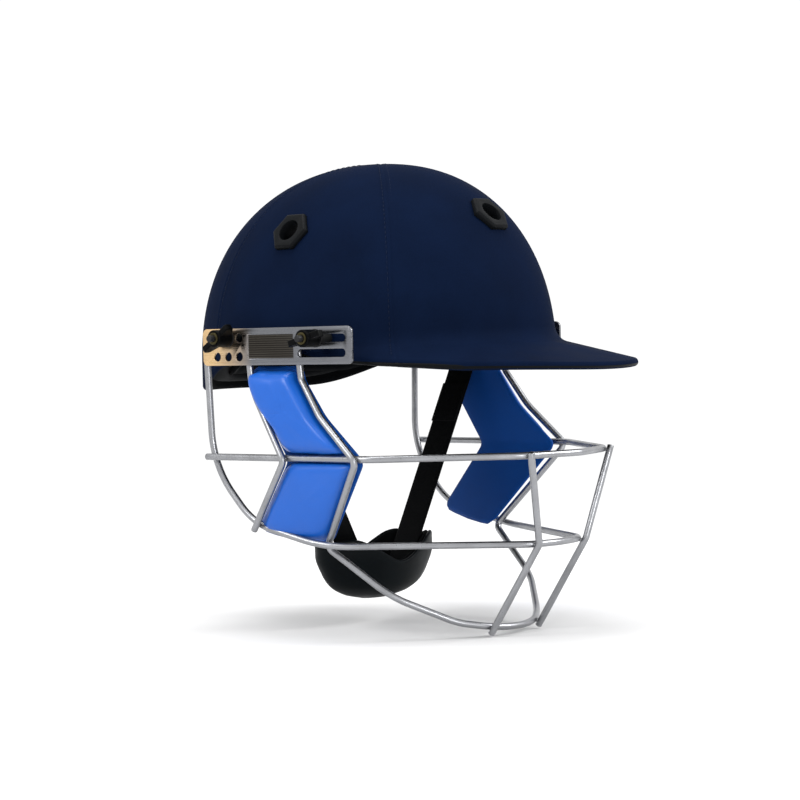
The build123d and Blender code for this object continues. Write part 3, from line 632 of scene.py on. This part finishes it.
def stitch_mesh(places, name, length=2.3, radius=0.16):
    """Short threads, each a thin closed loop that dips into the cloth at both ends."""
    around, along = 6, 6
    verts, faces = [], []
    for place, direction, normal in places:
        side = direction.cross(normal).normalized()
        faces += stack_faces(along + 1, around, len(verts))
        for i in range(along + 1):
            share = i / along
            bow = sin(pi * share)
            lift = radius * (1.2 * bow - 0.7)
            centre = place + direction * (share - 0.5) * length + normal * lift
            verts += circle(centre, side, normal, radius * (0.55 + 0.45 * bow), around)
    return make_object(name, verts, faces)


def seam_stitches():
    aside, first, pitch = 2.6, 1.5, 3.4
    places = []
    for seam in SEAM_ANGLES:
        out = Vector((cos(seam), sin(seam), 0))
        column = [(r, z) for r, z in profile(seam, 0.0, 6.0, 0.0, True) if r >= 9]
        for side in (-aside, aside):
            turned = [(seam + side / r, r, z) for r, z in column]
            points = [Vector((r * cos(a), r * sin(a), z)) for a, r, z in turned]
            walked, target = 0.0, first
            for start, end in zip(points, points[1:]):
                run = (end - start).length
                direction = (end - start).normalized()
                normal = (out - direction * out.dot(direction)).normalized()
                if normal.z < 0:
                    normal = -normal
                if abs(direction.z) < 0.05:
                    normal = Vector((0, 0, 1))
                while walked + run >= target:
                    place = start.lerp(end, (target - walked) / run)
                    places.append((place + normal * 0.16, direction, normal))
                    target += pitch
                walked += run
    return stitch_mesh(places, "cover_stitches")


dress(seam_stitches(), "helmet", "cloth", look="stitch_thread")

# Vents, side plates and fixings


def build_hard():
    """Softened copies of the hard nodes: each row has its node, name, bevel, body and slot."""
    rows = [(f"vent_{direction}", f"vent_eyelet_{direction}", 0.45, "helmet", "vent_plastic")
            for direction in VENTS]
    for side, _ in SIDES:
        rows.append((f"side_plate_{side}", f"plate_{side}", 0.3, "guard", "plate_steel"))
        for tag in (f"rear_{side}", f"front_{side}"):
            rows += [(f"wing_nut_{tag}", f"nut_body_{tag}", None, f"nut_{tag}", "nut_plastic"),
                     (f"nut_insert_{tag}", f"insert_{tag}", 0.2, f"nut_{tag}", "insert_brass"),
                     (f"nut_washer_{tag}", f"washer_{tag}", 0.15, f"washer_{tag}", "bolt_steel")]
    rows += [("plate_bolts", "bolts", 0.25, "helmet", "bolt_steel"),
             ("plate_spacers", "spacers", 0.15, "helmet", "spacer_rubber"),
             ("strap_rivets", "rivets", 0.4, "helmet", "rivet_metal")]
    for node, name, width, body, slot in rows:
        piece = bevelled(node, name, width) if width else rounded(node, name, 0.32, 5)
        dress(piece, body, slot, node, look="rivet_lacquer" if slot == "rivet_metal" else None)


build_hard()
nodes["vent_lock_rings"].data.materials.clear()
nodes["vent_lock_rings"].data.materials.append(looks["vent_plastic"])

# Face guard rods, on the same lines as the solids
ROD = 2.1
PITCH = 4.24
ROD_X = 103.1 - 0.04 - ROD
RING_Z, RING_REAR, RING_TIP, SPLAY, TAPER = -56.0, 59.0, -69.0, 2.0, 0.5
LOW_X, LOW_Z = 91.5, -109.5  # the lower ring


def ring_x(along):
    rear, tip = ROD_X + SPLAY, ROD_X - TAPER
    return rear + (tip - rear) * (RING_REAR - along) / (RING_REAR - RING_TIP)


def both_halves(right, middle=()):
    return right + list(middle) + [(-x, y, z) for x, y, z in reversed(right)]


def rod_lines():
    """Corner points and bend radii of every rod on the right, and of the loops."""
    upright = ring_x(57.5) - PITCH
    knee = ROD_X + (upright - ROD_X) * 62 / 56
    chin_tip = ring_x(-63.6) + PITCH + 0.4
    rear_tip = ring_x(-8.0) + PITCH + 0.4
    ring = both_halves([(-ring_x(59.0), 59.0, RING_Z), (-ring_x(-69.0), -69.0, RING_Z),
                        (-41.0, -139.0, RING_Z)], [(0, -150.0, RING_Z)])
    low = both_halves([(-ROD_X, 57.9, 12.0), (-ROD_X, 57.9, 0), (-knee, 57.5, -62.0),
                       (-(upright + LOW_X) / 2, 28.0, -97.0), (-LOW_X, -25.5, LOW_Z),
                       (-24.0, -131.5, LOW_Z)], [(0, -136.5, LOW_Z)])
    chin = both_halves([(-ROD_X, -16.8, 12.0), (-ROD_X, -19.0, -9.0),
                        (-(ROD_X + chin_tip) / 2, -35.0, -31.5), (-chin_tip, -63.6, -57.6),
                        (-84.0, -21.5, -110.5), (-70.0, -59.0, -140.0), (-40.0, -85.5, -157.3),
                        (-16.0, -101.0, -162.0)])
    rear = [(-ROD_X, 23.4, 12.0), (-ROD_X, 23.4 - ROD, -14.0), (-rear_tip, -8.0, -57.6),
            (-(upright + LOW_X) / 2 - PITCH + 0.85, 25.0, -101.0)]
    knee_y = -131.5 - PITCH + 0.45
    run_y, run_z = -99.3 - knee_y, -163.1 - LOW_Z
    share = 1 + 2.5 / hypot(run_y, run_z)
    bar = [(-41.0, -139.0 - PITCH - 0.08, RING_Z + ROD), (-24.0, knee_y, LOW_Z),
           (-24.0, knee_y + run_y * share, LOW_Z + run_z * share)]
    low_bends = [60, 60, 45, 60, 22]
    chin_bends = [5, 40, 5, 5, 50, 50, 50]
    return {
        "upper_ring": (ring, [20, 25, 25, 25, 20]),
        "lower_ring": (low, low_bends + [60] + low_bends[::-1]),
        "chin_loop": (chin, chin_bends + chin_bends[::-1]),
        "rear_cheek_rod_right": (rear, [40, 5]),
        "front_bar_right": (bar, [5]),
    }


def bent_line(points, bends, step=1.2):
    """Points along straight runs joined by arcs, close together in the arcs."""
    points = [Vector(p) for p in points]
    line = [points[0]]
    for before, corner, after, radius in zip(points, points[1:], points[2:], bends):
        u = (before - corner).normalized()
        v = (after - corner).normalized()
        turn = pi - u.angle(v)
        if turn < 0.0005:
            line.append(corner)
            continue
        reach = radius * tan(turn / 2)
        centre = corner + (u + v).normalized() * radius / cos(turn / 2)
        start = corner + u * reach
        count = max(4, ceil(radius * turn / step))
        axis = u.cross(v).normalized()
        spoke = start - centre
        for i in range(count + 1):
            line.append(centre + Matrix.Rotation(-turn * i / count, 3, axis) @ spoke)
    line.append(points[-1])
    dense = [line[0]]
    for point in line[1:]:
        for left in range(max(1, ceil((point - dense[-1]).length / 6)), 0, -1):
            dense.append(dense[-1].lerp(point, 1 / left))
    return dense


def tube(line, radius, name, around=20, end_round=0.7):
    """Round rod along a line with slightly rounded cut ends."""
    line = [line[0]] + [p for q, p in zip(line, line[1:]) if (p - q).length > 0.01]
    tangents = [(after - before).normalized()
                for before, after in zip([line[0]] + line[:-1], line[1:] + [line[-1]])]
    normal = tangents[0].orthogonal().normalized()
    rings = []
    for point, tangent in zip(line, tangents):
        normal = (normal - tangent * normal.dot(tangent)).normalized()
        rings.append((point, normal, tangent.cross(normal), radius))
    caps = []
    for index, way in ((0, 1), (-1, -1)):
        point, n, b, _ = rings[index]
        tangent = tangents[index] * way
        caps.append([(point + tangent * end_round * (1 - cos(t)), n, b,
                      radius - end_round * (1 - sin(t)))
                     for t in (0.0, pi / 8, pi / 4, 3 * pi / 8)])
    rings = caps[0] + rings[1:-1] + caps[1][::-1]
    verts = [vert for point, n, b, size in rings for vert in circle(point, n, b, size, around)]
    return set_sharp(tidy_mesh(make_object(name, verts, stack_faces(len(rings), around))), 60)


def build_rods():
    lines = {}
    for name, (points, bends) in rod_lines().items():
        lines[name] = bent_line(points, bends)
        if name.endswith("_right"):
            lines[name.replace("_right", "_left")] = [Vector((-p.x, p.y, p.z)) for p in lines[name]]
    for name, line in lines.items():
        dress(tube(line, ROD, f"rod_{name}"), "guard", "guard_steel", name)
    return lines


rod_paths = build_rods()

# Welds: the rods' crossings filled with a small saddle of metal
WELD_REACH = 5.2


def nearest_points(a, b):
    """Closest places between two lines, each run cut into short steps."""
    pa = np.array([tuple(p) for p in a])
    pb = np.array([tuple(p) for p in b])
    gaps = np.linalg.norm(pa[:, None] - pb[None], axis=2)
    i, j = np.unravel_index(np.argmin(gaps), gaps.shape)
    return Vector(pa[i]), Vector(pb[j]), float(gaps[i, j])


def fine_line(line, step=0.5):
    fine = []
    for a, b in zip(line, line[1:]):
        count = max(1, ceil((b - a).length / step))
        fine += [a.lerp(b, i / count) for i in range(count)]
    return fine + [line[-1]]


def weld_places():
    fine = {name: fine_line(line) for name, line in rod_paths.items()}
    places = []
    for side, sign in SIDES:
        def half(name):
            return [p for p in fine[name] if p.x * sign > 0]
        bar = f"front_bar_{side}"
        pairs = [("upper_ring", "lower_ring"), ("upper_ring", "chin_loop"),
                 ("upper_ring", f"rear_cheek_rod_{side}"), ("upper_ring", bar),
                 ("lower_ring", "chin_loop"), ("lower_ring", bar), ("chin_loop", bar)]
        for a, b in pairs:
            p, q, gap = nearest_points(half(a), half(b))
            if gap < WELD_REACH:
                places.append((p, q))
    return places


def build_welds():
    around, along = 20, 12
    waist, flare, half_length = 1.15, 0.75, 1.5
    verts, faces = [], []
    for p, q in weld_places():
        way = (q - p).normalized()
        side = way.orthogonal().normalized()
        other = way.cross(side)
        faces += stack_faces(along + 1, around, len(verts))
        for i in range(along + 1):
            share = i / along * 2 - 1
            size = waist + flare * share * share
            for j in range(around):
                turn = 2 * pi * j / around
                ripple = 1 + 0.07 * sin(turn * 3 + share * 2) + 0.05 * sin(turn * 7)
                verts.append(tuple((p + q) / 2 + way * share * half_length
                                   + (side * cos(turn) + other * sin(turn)) * size * ripple))
    return tidy_mesh(make_object("rod_welds", verts, faces))


dress(build_welds(), "guard", "guard_steel")

# Cheek pads: foam in smooth coated cloth, swelled by a short cloth run


def inflate(piece, pressure, cap, frames=14, stiffness=18.0):
    """Lets the cloth swell a little and keeps every point within cap of where it started."""
    start = np.array([tuple(v.co) for v in piece.data.vertices])
    cloth = piece.modifiers.new("cloth", "CLOTH")
    set_all(cloth.settings, use_pressure=True, uniform_pressure_force=pressure, quality=4,
            tension_stiffness=stiffness, compression_stiffness=stiffness)
    cloth.settings.effector_weights.gravity = 0
    cloth.collision_settings.use_collision = False
    for number in range(1, frames + 1):
        scene.frame_set(number)
    apply_modifiers(piece)
    move = np.array([tuple(v.co) for v in piece.data.vertices]) - start
    size = np.linalg.norm(move, axis=1)
    limit = cap * MM
    move *= (limit * np.tanh(size / limit) / np.maximum(size, 1e-9))[:, None]
    piece.data.vertices.foreach_set("co", (start + move).ravel())
    piece.data.update()
    scene.frame_set(1)


def line_place(line, height):
    """Y of a falling line at a height, and its distance from the centre plane."""
    for a, b in zip(line, line[1:]):
        if b.z <= height <= a.z:
            share = (a.z - height) / max(a.z - b.z, 1e-6)
            return a.y + (b.y - a.y) * share, abs(a.x + (b.x - a.x) * share)
    return line[-1].y, abs(line[-1].x)


PAD_INSIDE = ROD + 0.6  # from a rod's line in to the pad's outer face
PAD_FRONT = [p for p in rod_paths["chin_loop"] if p.x < 0 and p.z > -112]
PAD_REAR = rod_paths["rear_cheek_rod_right"]
PAD_X = ring_x(RING_TIP) - PAD_INSIDE
PAD_FOOT_X = line_place(PAD_FRONT, -107)[1] - PAD_INSIDE
PAD_HEEL_X = (ring_x(57.5) - PITCH + LOW_X) / 2 - PAD_INSIDE
PAD_DROP = 48.0  # below the upper ring, to where the pad has leaned in as far as its foot
BASE_HALF, BASE_TOP = 1.5, -0.8
OVER_ROD, UNDER_ROD = 3.0, 4.6  # how far a panel reaches over and under the rear rod


def pad_place(u, v, top, front_end, rear_end, front_trim, rear_trim, sag=0.0):
    """Place on a pad: u runs from the rear rod to the front one, v down from the top."""
    rear_z = top + (rear_end - top) * v
    front_z = top + (front_end - top) * v
    z = rear_z + (front_z - rear_z) * u - sag * 4 * u * (1 - u) * v
    rear_y = line_place(PAD_REAR, rear_z)[0] - rear_trim
    front_y = line_place(PAD_FRONT, front_z)[0] + front_trim
    fall = min(max(0.0, RING_Z - z) / PAD_DROP, 1.1)
    low_x = PAD_HEEL_X + (PAD_FOOT_X - PAD_HEEL_X) * u
    return PAD_X + (low_x - PAD_X) * fall, rear_y + (front_y - rear_y) * u, z


def puffed(name, thick, *shape):
    """Raised panel with a full rounded edge, as a polar grid."""
    around, rings, square, crown = 112, 16, 9, 0.9
    verts = []
    for i in range(rings + 1):
        s = 1 - (1 - i / rings) ** 2.2
        rise = thick * (1 - s ** square) ** 0.5 + crown * (1 - s * s)
        sink = 2.0 if i == rings else 0.0
        for j in range(around):
            turn = 2 * pi * (j + 0.5) / around
            c, w = cos(turn), sin(turn)
            span = (abs(c) ** square + abs(w) ** square) ** (-1 / square)
            u, v = 0.5 + 0.5 * s * span * c, 0.5 + 0.5 * s * span * w
            x, y, z = pad_place(u, v, *shape)
            rod_out = line_place(PAD_REAR, z)[1] - x
            near = min(1.0, 1.6 * (1 - u)) ** 2
            over = clamp((rise - rod_out - ROD - 0.4) / 1.2) * near * clamp((z + 44) / 20)
            under = clamp(1 - rise / max(rod_out - ROD - 0.5, 0.1)) * near
            y += OVER_ROD * over * (3 - 2 * over) * over + UNDER_ROD * sqrt(under)
            verts.append((-x - rise + sink, y, z))
    faces = grid_faces(rings + 1, around, True)
    faces.append(tuple(range(rings * around, (rings + 1) * around)))
    return tidy_mesh(make_object(name, verts, faces))


def pad_base(name):
    """Chevron back of a pad, 3 mm thick with round edges."""
    around, steps = 40, 26
    stations = [(i / steps, True) for i in range(steps + 1)]
    stations += [(i / steps, False) for i in range(1, steps + 1)]
    verts = []
    for v, upper in stations:
        if upper:
            shape = (BASE_TOP, RING_Z, RING_Z, 1.2, -2.0 - 3.0 * v)
            at_end, end_gap = v < 0.2, v * 53
        else:
            shape = (RING_Z, -110.0, -100.4, 1.2, -5.0 + 2.0 * v, 2.0)
            at_end, end_gap = v > 0.8, (1 - v) * 50
        thin, slim = 1.0, 1.0
        if at_end:
            thin = sqrt(max(0.02, 1 - (1 - min(end_gap / BASE_HALF, 1.0)) ** 2))
            slim = 1 - 0.2 * (1 - min(end_gap / 6.0, 1.0)) ** 2.5
        for j in range(around):
            c, w = cos(2 * pi * j / around), sin(2 * pi * j / around)
            across, depth = copysign(abs(c) ** 0.25, c), copysign(abs(w) ** 0.55, w)
            x, y, z = pad_place(0.5 + 0.5 * across * slim, v, *shape)
            verts.append((-x + BASE_HALF + 0.1 - depth * BASE_HALF * thin, y, z))
    return tidy_mesh(make_object(name, verts, stack_faces(len(stations), around)))


def build_cheek_pads():
    base = pad_base("pad_base_right")
    panels = [puffed("pad_upper_right", 9.8, -3.4, RING_Z + 2.7, RING_Z + 2.7, 4.6, 2.45),
              puffed("pad_lower_right", 6.8, RING_Z - 2.7, -108.4, -99.4, 3.2, 2.5, 1.6)]
    for panel in panels:
        inflate(panel, 1.5, 0.5)
    for piece in [base] + panels:
        back = piece is base
        mesh = piece.data.copy()
        mesh.transform(Matrix.Scale(-1, 4, (1, 0, 0)))
        mesh.flip_normals()
        twin = link_mesh(piece.name.replace("_right", "_left"), mesh)
        for side, pad in (("right", piece), ("left", twin)):
            pad.data.shade_smooth()
            # The base gets the darker pad cloth, which is painted shade
            replaced, look = ((f"cheek_pad_{side}",), "pad_back_cloth") if back else ((), None)
            dress(pad, "guard", "pad_cloth", *replaced, look=look)


build_cheek_pads()

# Comfort pads inside
PAD_LOW, PAD_HIGH, PAD_THICK = 9.5, 43.5, 4.8


def pad_patch(name, start, end, deep, channels, inset):
    """Crowned pad on the inside of the liner, thin at its edges, with sewn channels."""
    columns, rows = 72, 22
    verts = []
    for layer in (0, 1):
        for i in range(rows + 1):
            v = i / rows
            for j in range(columns + 1):
                u = j / columns
                angle = start + (end - start) * u
                low = max(-7.0, rim_height(112 * sin(angle)) + 6.0) if deep else PAD_LOW
                height = low + (PAD_HIGH - low) * v
                ridge = abs(((u * channels) % 1) - 0.5) * 2
                crown = ((1 - abs(2 * u - 1) ** 14) * (1 - abs(2 * v - 1) ** 5)) ** 0.5
                crown *= 1 - 0.32 * np.exp(-((1 - ridge) / 0.09) ** 2)
                depth = inset + (0.3 + (PAD_THICK - 0.3) * crown if layer else 0.25)
                radius = level_radius(angle, height, depth, False)
                verts.append((radius * cos(angle), radius * sin(angle), height))
    row = columns + 1
    border = (list(range(row)) + [i * row + columns for i in range(1, rows + 1)]
              + [rows * row + j for j in range(columns - 1, -1, -1)]
              + [i * row for i in range(rows - 1, 0, -1)])
    faces = layer_faces(grid_faces(rows + 1, row), (rows + 1) * row, border)
    return tidy_mesh(make_object(name, verts, faces))


def crown_patch(name, inset):
    """Round pad under the crown, with a round channel and six sewn lines."""
    columns, rows, reach = 72, 16, 41.5
    verts = []
    for layer in (0, 1):
        for i in range(rows + 1):
            share = i / rows
            for j in range(columns):
                c, s = cos(2 * pi * j / columns), sin(2 * pi * j / columns)
                r = 0.001 + reach * share
                line = abs(((j / columns * 6) % 1) - 0.5)
                crown = (1 - share ** 6) ** 0.5 * (1 - 0.3 * np.exp(-((share - 0.5) / 0.06) ** 2))
                crown *= 1 - 0.25 * np.exp(-(line / 0.07) ** 2) * share
                depth = inset + (0.2 + 4.3 * crown if layer else 0.0)
                length = REAR if s > 0 else FRONT
                spread = min(r * hypot(c / (HALF - depth), s / (length - depth)), 0.999)
                height = (CROWN - depth) * (1 - spread ** EXPONENT) ** (1 / EXPONENT)
                verts.append((r * c, r * s, height))
    border = list(range(rows * columns, (rows + 1) * columns))
    faces = layer_faces(grid_faces(rows + 1, columns, True), (rows + 1) * columns, border)
    return tidy_mesh(make_object(name, verts, faces), 0.00002)


def build_comfort_pads():
    inset = CLOTH + SHELL + GLUE + LINER + 0.2
    front, rear = -pi / 2, pi / 2

    pads = {}
    for node, middle, start, end, channels in (
            ("front_sweatband", front, -51, 51, 5), ("side_pad_right", front, -57, -106, 3),
            ("side_pad_left", front, 57, 106, 3), ("rear_pad", rear, -66, 66, 5)):
        pads[node] = pad_patch(f"comfort_{node}", middle + radians(start), middle + radians(end),
                               middle == rear, channels, inset)
    pads["crown_pad"] = crown_patch("comfort_crown_pad", inset + 0.25)
    for node, piece in pads.items():
        dress(piece, "helmet", "comfort_cloth", node)


build_comfort_pads()

# Chin strap
STRAP_Y, PIVOT_Z, STRAP_X, STRAP_WIDTH, STRAP_THICK = 9.5, 6.0, 90.2, 20.0, 1.6
STRAP_BEND_Z, FOOT_X, FOOT_Z = -8.0, 20.0, -133.0
LAP_OFFSET, LAP_THICK, LAP_START, LAP_END = 1.55, 1.4, 10, 34
BOX_HALF, BOX_START, BOX_END = 7, 3, 21  # the stitched box on the lap


def band(line, half_widths, thick, name, sign, offset=0.0):
    """Flat webbing along a line in the upright plane across the helmet, width along Y."""
    edge, turns = thick / 2, np.linspace(0, pi / 2, 5)
    verts, uvs, walked = [], [], 0.0
    for i, (point, half) in enumerate(zip(line, half_widths)):
        before, after = line[max(i - 1, 0)], line[min(i + 1, len(line) - 1)]
        tangent = (after - before).normalized()
        out = Vector((tangent.z, 0, -tangent.x))
        walked += (point - before).length
        section = [(-half + edge * (1 - cos(t)), edge * sin(t)) for t in turns]
        section += [(w, edge) for w in np.linspace(-half + edge, half - edge, 9)[1:-1]]
        section += [(half - edge * (1 - cos(t)), edge * sin(t)) for t in turns[::-1]]
        section += [(w, -h) for w, h in section[::-1][1:-1]]
        for w, h in section:
            p = point + out * (h + offset)
            verts.append((p.x * sign, p.y + w, p.z))
            uvs.append((w, walked))
    piece = make_object(name, verts, stack_faces(len(line), len(section)), uvs)
    return set_sharp(tidy_mesh(piece, 0), 55)


def join_pieces(pieces, name):
    """One object out of several, their coordinates kept."""
    mesh = bmesh.new()
    for piece in pieces:
        mesh.from_mesh(piece.data)
        bpy.data.objects.remove(piece)
    return link_mesh(name, mesh)


def box_stitches(start, slant, sign):
    """Places, directions and outward directions of the threads of a crossed box on the lap."""
    out = Vector((slant.z, 0, -slant.x))
    a, low, high = BOX_HALF, BOX_START, BOX_END
    places = []
    for u0, v0, u1, v1 in ((-a, low, a, low), (-a, high, a, high), (-a, low, -a, high),
                           (a, low, a, high), (-a, low, a, high), (-a, high, a, low)):
        count = int(hypot(u1 - u0, v1 - v0) / 2.4)
        run = (slant * (v1 - v0) + Vector((0, u1 - u0, 0))).normalized()
        for k in range(count):
            share = (k + 0.5) / count
            place = (start + slant * (v0 + (v1 - v0) * share)
                     + Vector((0, u0 + (u1 - u0) * share, 0))
                     + out * (LAP_OFFSET + LAP_THICK / 2 + 0.02))
            places.append([Vector((p.x * sign, p.y, p.z)) for p in (place, run, out)])
    return places


def build_straps():
    foot = Vector((FOOT_X, STRAP_Y, FOOT_Z))
    corner = Vector((STRAP_X, STRAP_Y, STRAP_BEND_Z))
    slant = (foot - corner).normalized()
    round_end = STRAP_WIDTH / 2
    top = PIVOT_Z + round_end
    for side, sign in SIDES:
        tongue = [Vector((STRAP_X, STRAP_Y, top - 0.02 - round_end * (1 - cos(t))))
                  for t in np.linspace(0, pi / 2, 12)]
        line = tongue + fine_line(bent_line([tongue[-1], corner, foot], [10], 0.8)[1:], 2.0)
        above = [max(p.z - PIVOT_Z, 0) for p in line]
        widths = [max(0.9, sqrt(max(round_end ** 2 - rise ** 2, 0.01))) for rise in above]
        strap = band(line, widths, STRAP_THICK, f"strap_{side}_main", sign)
        start, end = (corner + slant * (drop / -slant.z) for drop in (LAP_START, LAP_END))
        lap_line = fine_line([start, end], 2.0)
        lap = band(lap_line, [round_end - 0.2] * len(lap_line), LAP_THICK, f"strap_{side}_lap",
                   sign, LAP_OFFSET)
        strap = join_pieces([strap, lap], f"strap_{side}")
        dress(strap, "chin_strap", "webbing", f"chin_strap_{side}")
        places = box_stitches(start, slant, sign)
        dress(stitch_mesh(places, f"strap_{side}_stitches", 1.9, 0.17), "chin_strap", "webbing")


build_straps()

# Chin cup and its lining
CUP_Y, CUP_LONG, CUP_SHORT, CUP_BOTTOM, CUP_TOP = 12.5, 50.0, 25.0, -150.5, -84.0
CUP_WALL, LINING_GAP, LINING = 2.4, 0.1, 3.0
CUP_RISE = (0.0, 0.05, 0.14, 0.26, 0.44, 0.66, 1.0)
CUP_SIZE = (0.25, 0.55, 0.775, 0.90, 1.0, 1.0, 0.92)
NOTCH_Z, NOTCH_SLOPE, NOTCH_FLAT, REAR_SLOPE = -124.0, 0.1, 5.0, -0.1
WING_TOP, WING_IN, WING_OUT, WING_END = -109.0, 34.0, 42.0, -119.0
CUP_RUNS = [(s1 - s0) / (h1 - h0)
            for h0, h1, s0, s1 in zip(CUP_RISE, CUP_RISE[1:], CUP_SIZE, CUP_SIZE[1:])]
CUP_SLOPES = ([CUP_RUNS[0]]
              + [2 * a * b / (a + b) if a * b > 0 else 0.0 for a, b in zip(CUP_RUNS, CUP_RUNS[1:])]
              + [CUP_RUNS[-1]])


def cup_size(rise):
    """Share of the full size at a share of the height, smooth through the stated levels."""
    if rise <= 0:
        return CUP_SIZE[0] * 0.999
    i = int(np.clip(np.searchsorted(CUP_RISE, rise) - 1, 0, len(CUP_RISE) - 2))
    width = CUP_RISE[i + 1] - CUP_RISE[i]
    t = (rise - CUP_RISE[i]) / width
    return ((2 * t ** 3 - 3 * t ** 2 + 1) * CUP_SIZE[i]
            + (3 * t ** 2 - 2 * t ** 3) * CUP_SIZE[i + 1]
            + (t ** 3 - 2 * t ** 2 + t) * width * CUP_SLOPES[i]
            + (t ** 3 - t ** 2) * width * CUP_SLOPES[i + 1])


def notch_height(x, y):
    """Height of the cup's edge: a notch in front, a wing on either side."""
    level = float(np.interp(abs(x), (0, NOTCH_FLAT, WING_IN, WING_OUT, CUP_LONG + 5),
                            (NOTCH_Z, NOTCH_Z, WING_TOP, WING_TOP, WING_END)))
    behind = max(0.0, y - CUP_Y)
    return level + (y - CUP_Y - behind) * NOTCH_SLOPE + behind * REAR_SLOPE


def cup_point(angle, height, inset):
    bottom = CUP_BOTTOM + inset
    rise = (height - bottom) / (CUP_TOP - bottom)
    size = cup_size(rise)
    return ((CUP_LONG - inset) * size * cos(angle), CUP_Y + (CUP_SHORT - inset) * size * sin(angle))


def cup_edge(angle, inset, trim):
    """Height of the cup's edge at an angle, with the notch's corners softened."""
    def above(height):
        x, y = cup_point(angle, height, inset)
        soft = np.mean([notch_height(x + dx, y) for dx in (-4, -2, 0, 2, 4)])
        return height >= soft - trim
    return narrow(CUP_BOTTOM + inset + 1, CUP_TOP, above)[0]


def bowl(name, outer_inset, inner_inset, sink=0.0, waves=0.0):
    """Closed bowl wall under the notched edge, its edge rounded."""
    columns, rows, edge_rows = 128, 26, 8
    half = (inner_inset - outer_inset) / 2
    layers = []
    for inset, puffs in ((outer_inset, 0.0), (inner_inset, waves)):
        bottom = CUP_BOTTOM + inset
        layer = [[Vector((0.0, CUP_Y, bottom))] * columns]
        for i in range(1, rows + 1):
            share = i / rows
            row = []
            for j in range(columns):
                angle = 2 * pi * j / columns
                height = bottom + (cup_edge(angle, inset, half + sink) - bottom) * share ** 1.7
                x, y = cup_point(angle, height, inset)
                puff = puffs * sin(pi * min(share * 1.02, 1.0)) * (0.5 + 0.5 * abs(cos(angle * 4)))
                row.append(Vector((x - puff * cos(angle), y - puff * sin(angle), height)))
            layer.append(row)
        layers.append(layer)
    outer, inner = layers
    edge = []
    for turn in [pi * k / edge_rows for k in range(1, edge_rows)]:
        edge.append([(a + b) / 2 + (a - b) / 2 * cos(turn) + Vector((0, 0, 1)) * half * sin(turn)
                     for a, b in zip(outer[-1], inner[-1])])
    everything = outer + edge + inner[::-1]
    verts = [tuple(p) for row in everything for p in row]
    piece = make_object(name, verts, grid_faces(len(everything), columns, True))
    return tidy_mesh(piece, 0.00003)


def build_cup():
    cup = bowl("cup_shell", 0.0, CUP_WALL)
    dress(cup, "chin_strap", "cup_plastic", "chin_cup")
    outer = CUP_WALL + LINING_GAP
    lining = bowl("cup_lining_soft", outer, outer + LINING, 0.4, 0.3)
    dress(lining, "chin_strap", "cup_cloth", "cup_lining")


build_cup()
dress(bevelled("strap_slider", "slider_loop", 0.4), "strap_slider", "slider_plastic",
      "strap_slider")

# Floor and light
WHITE = 1.05  # the backdrop's brightness
FADE_START, FADE_END = 0.45, 1.3  # where the floor turns into the backdrop, in metres


def build_stage():
    """Plain pale floor, level with the lowest rod, that fades into the white backdrop."""
    level, reach, steps = cad_box[0].z / MM - 0.6, 9000.0, 24
    marks = [reach * (2 * i / steps - 1) for i in range(steps + 1)]
    verts = [(x, y, level) for x in marks for y in marks]
    floor = tidy_mesh(make_object("floor", verts, grid_faces(steps + 1, steps + 1)))
    material, tree, shader, place = new_material("floor", (0.68, 0.68, 0.683), 0.8)
    tone = add_noise(tree, place, 3.0, 2.0)
    set_sockets(tree, shader, {
        "Base Color": add_ramp(tree, tone, (0.675, 0.675, 0.678), (0.685, 0.685, 0.688)),
        "Specular IOR Level": 0.0})
    length = add_node(tree, "VectorMath", {0: place}, operation="LENGTH").outputs["Value"]
    away = add_range(tree, length, 0.0, 1.0, FADE_START, FADE_END, interpolation_type="SMOOTHSTEP")
    glow = add_node(tree, "Emission", {"Strength": WHITE}).outputs["Emission"]
    mix = add_node(tree, "MixShader", {"Fac": away, 1: shader.outputs["BSDF"], 2: glow})
    output = next(node for node in tree.nodes if node.type == "OUTPUT_MATERIAL")
    tree.links.new(mix.outputs["Shader"], output.inputs["Surface"])
    floor.data.materials.append(material)


def add_light(name, place, target, size, power):
    data = bpy.data.lights.new(name, "AREA")
    set_all(data, shape="RECTANGLE", size=size[0], size_y=size[1], energy=power)
    light = bpy.data.objects.new(name, data)
    light.location = place
    way = Vector(target) - Vector(place)
    light.rotation_euler = way.to_track_quat("-Z", "Y").to_euler()
    scene.collection.objects.link(light)


def build_light():
    world = bpy.data.worlds.new("studio")
    scene.world = world
    world.use_nodes = True
    background = world.node_tree.nodes["Background"]
    background.inputs["Color"].default_value = (1, 1, 1, 1)
    background.inputs["Strength"].default_value = WHITE
    add_light("right_front", (1.3, -1.9, 1.5), (0, -0.03, -0.02), (1.0, 0.9), 46)
    add_light("left_back", (-1.9, 0.6, 1.3), (0, 0, -0.03), (1.0, 0.8), 24)
    add_light("edge", (-0.8, -1.8, 0.2), (-0.1, -0.03, -0.05), (0.3, 0.3), 9)
    add_light("top", (-0.2, 0.1, 2.1), (0, 0, 0), (1.2, 1.2), 26)


scene.view_settings.view_transform = "Standard"
build_stage()
build_light()
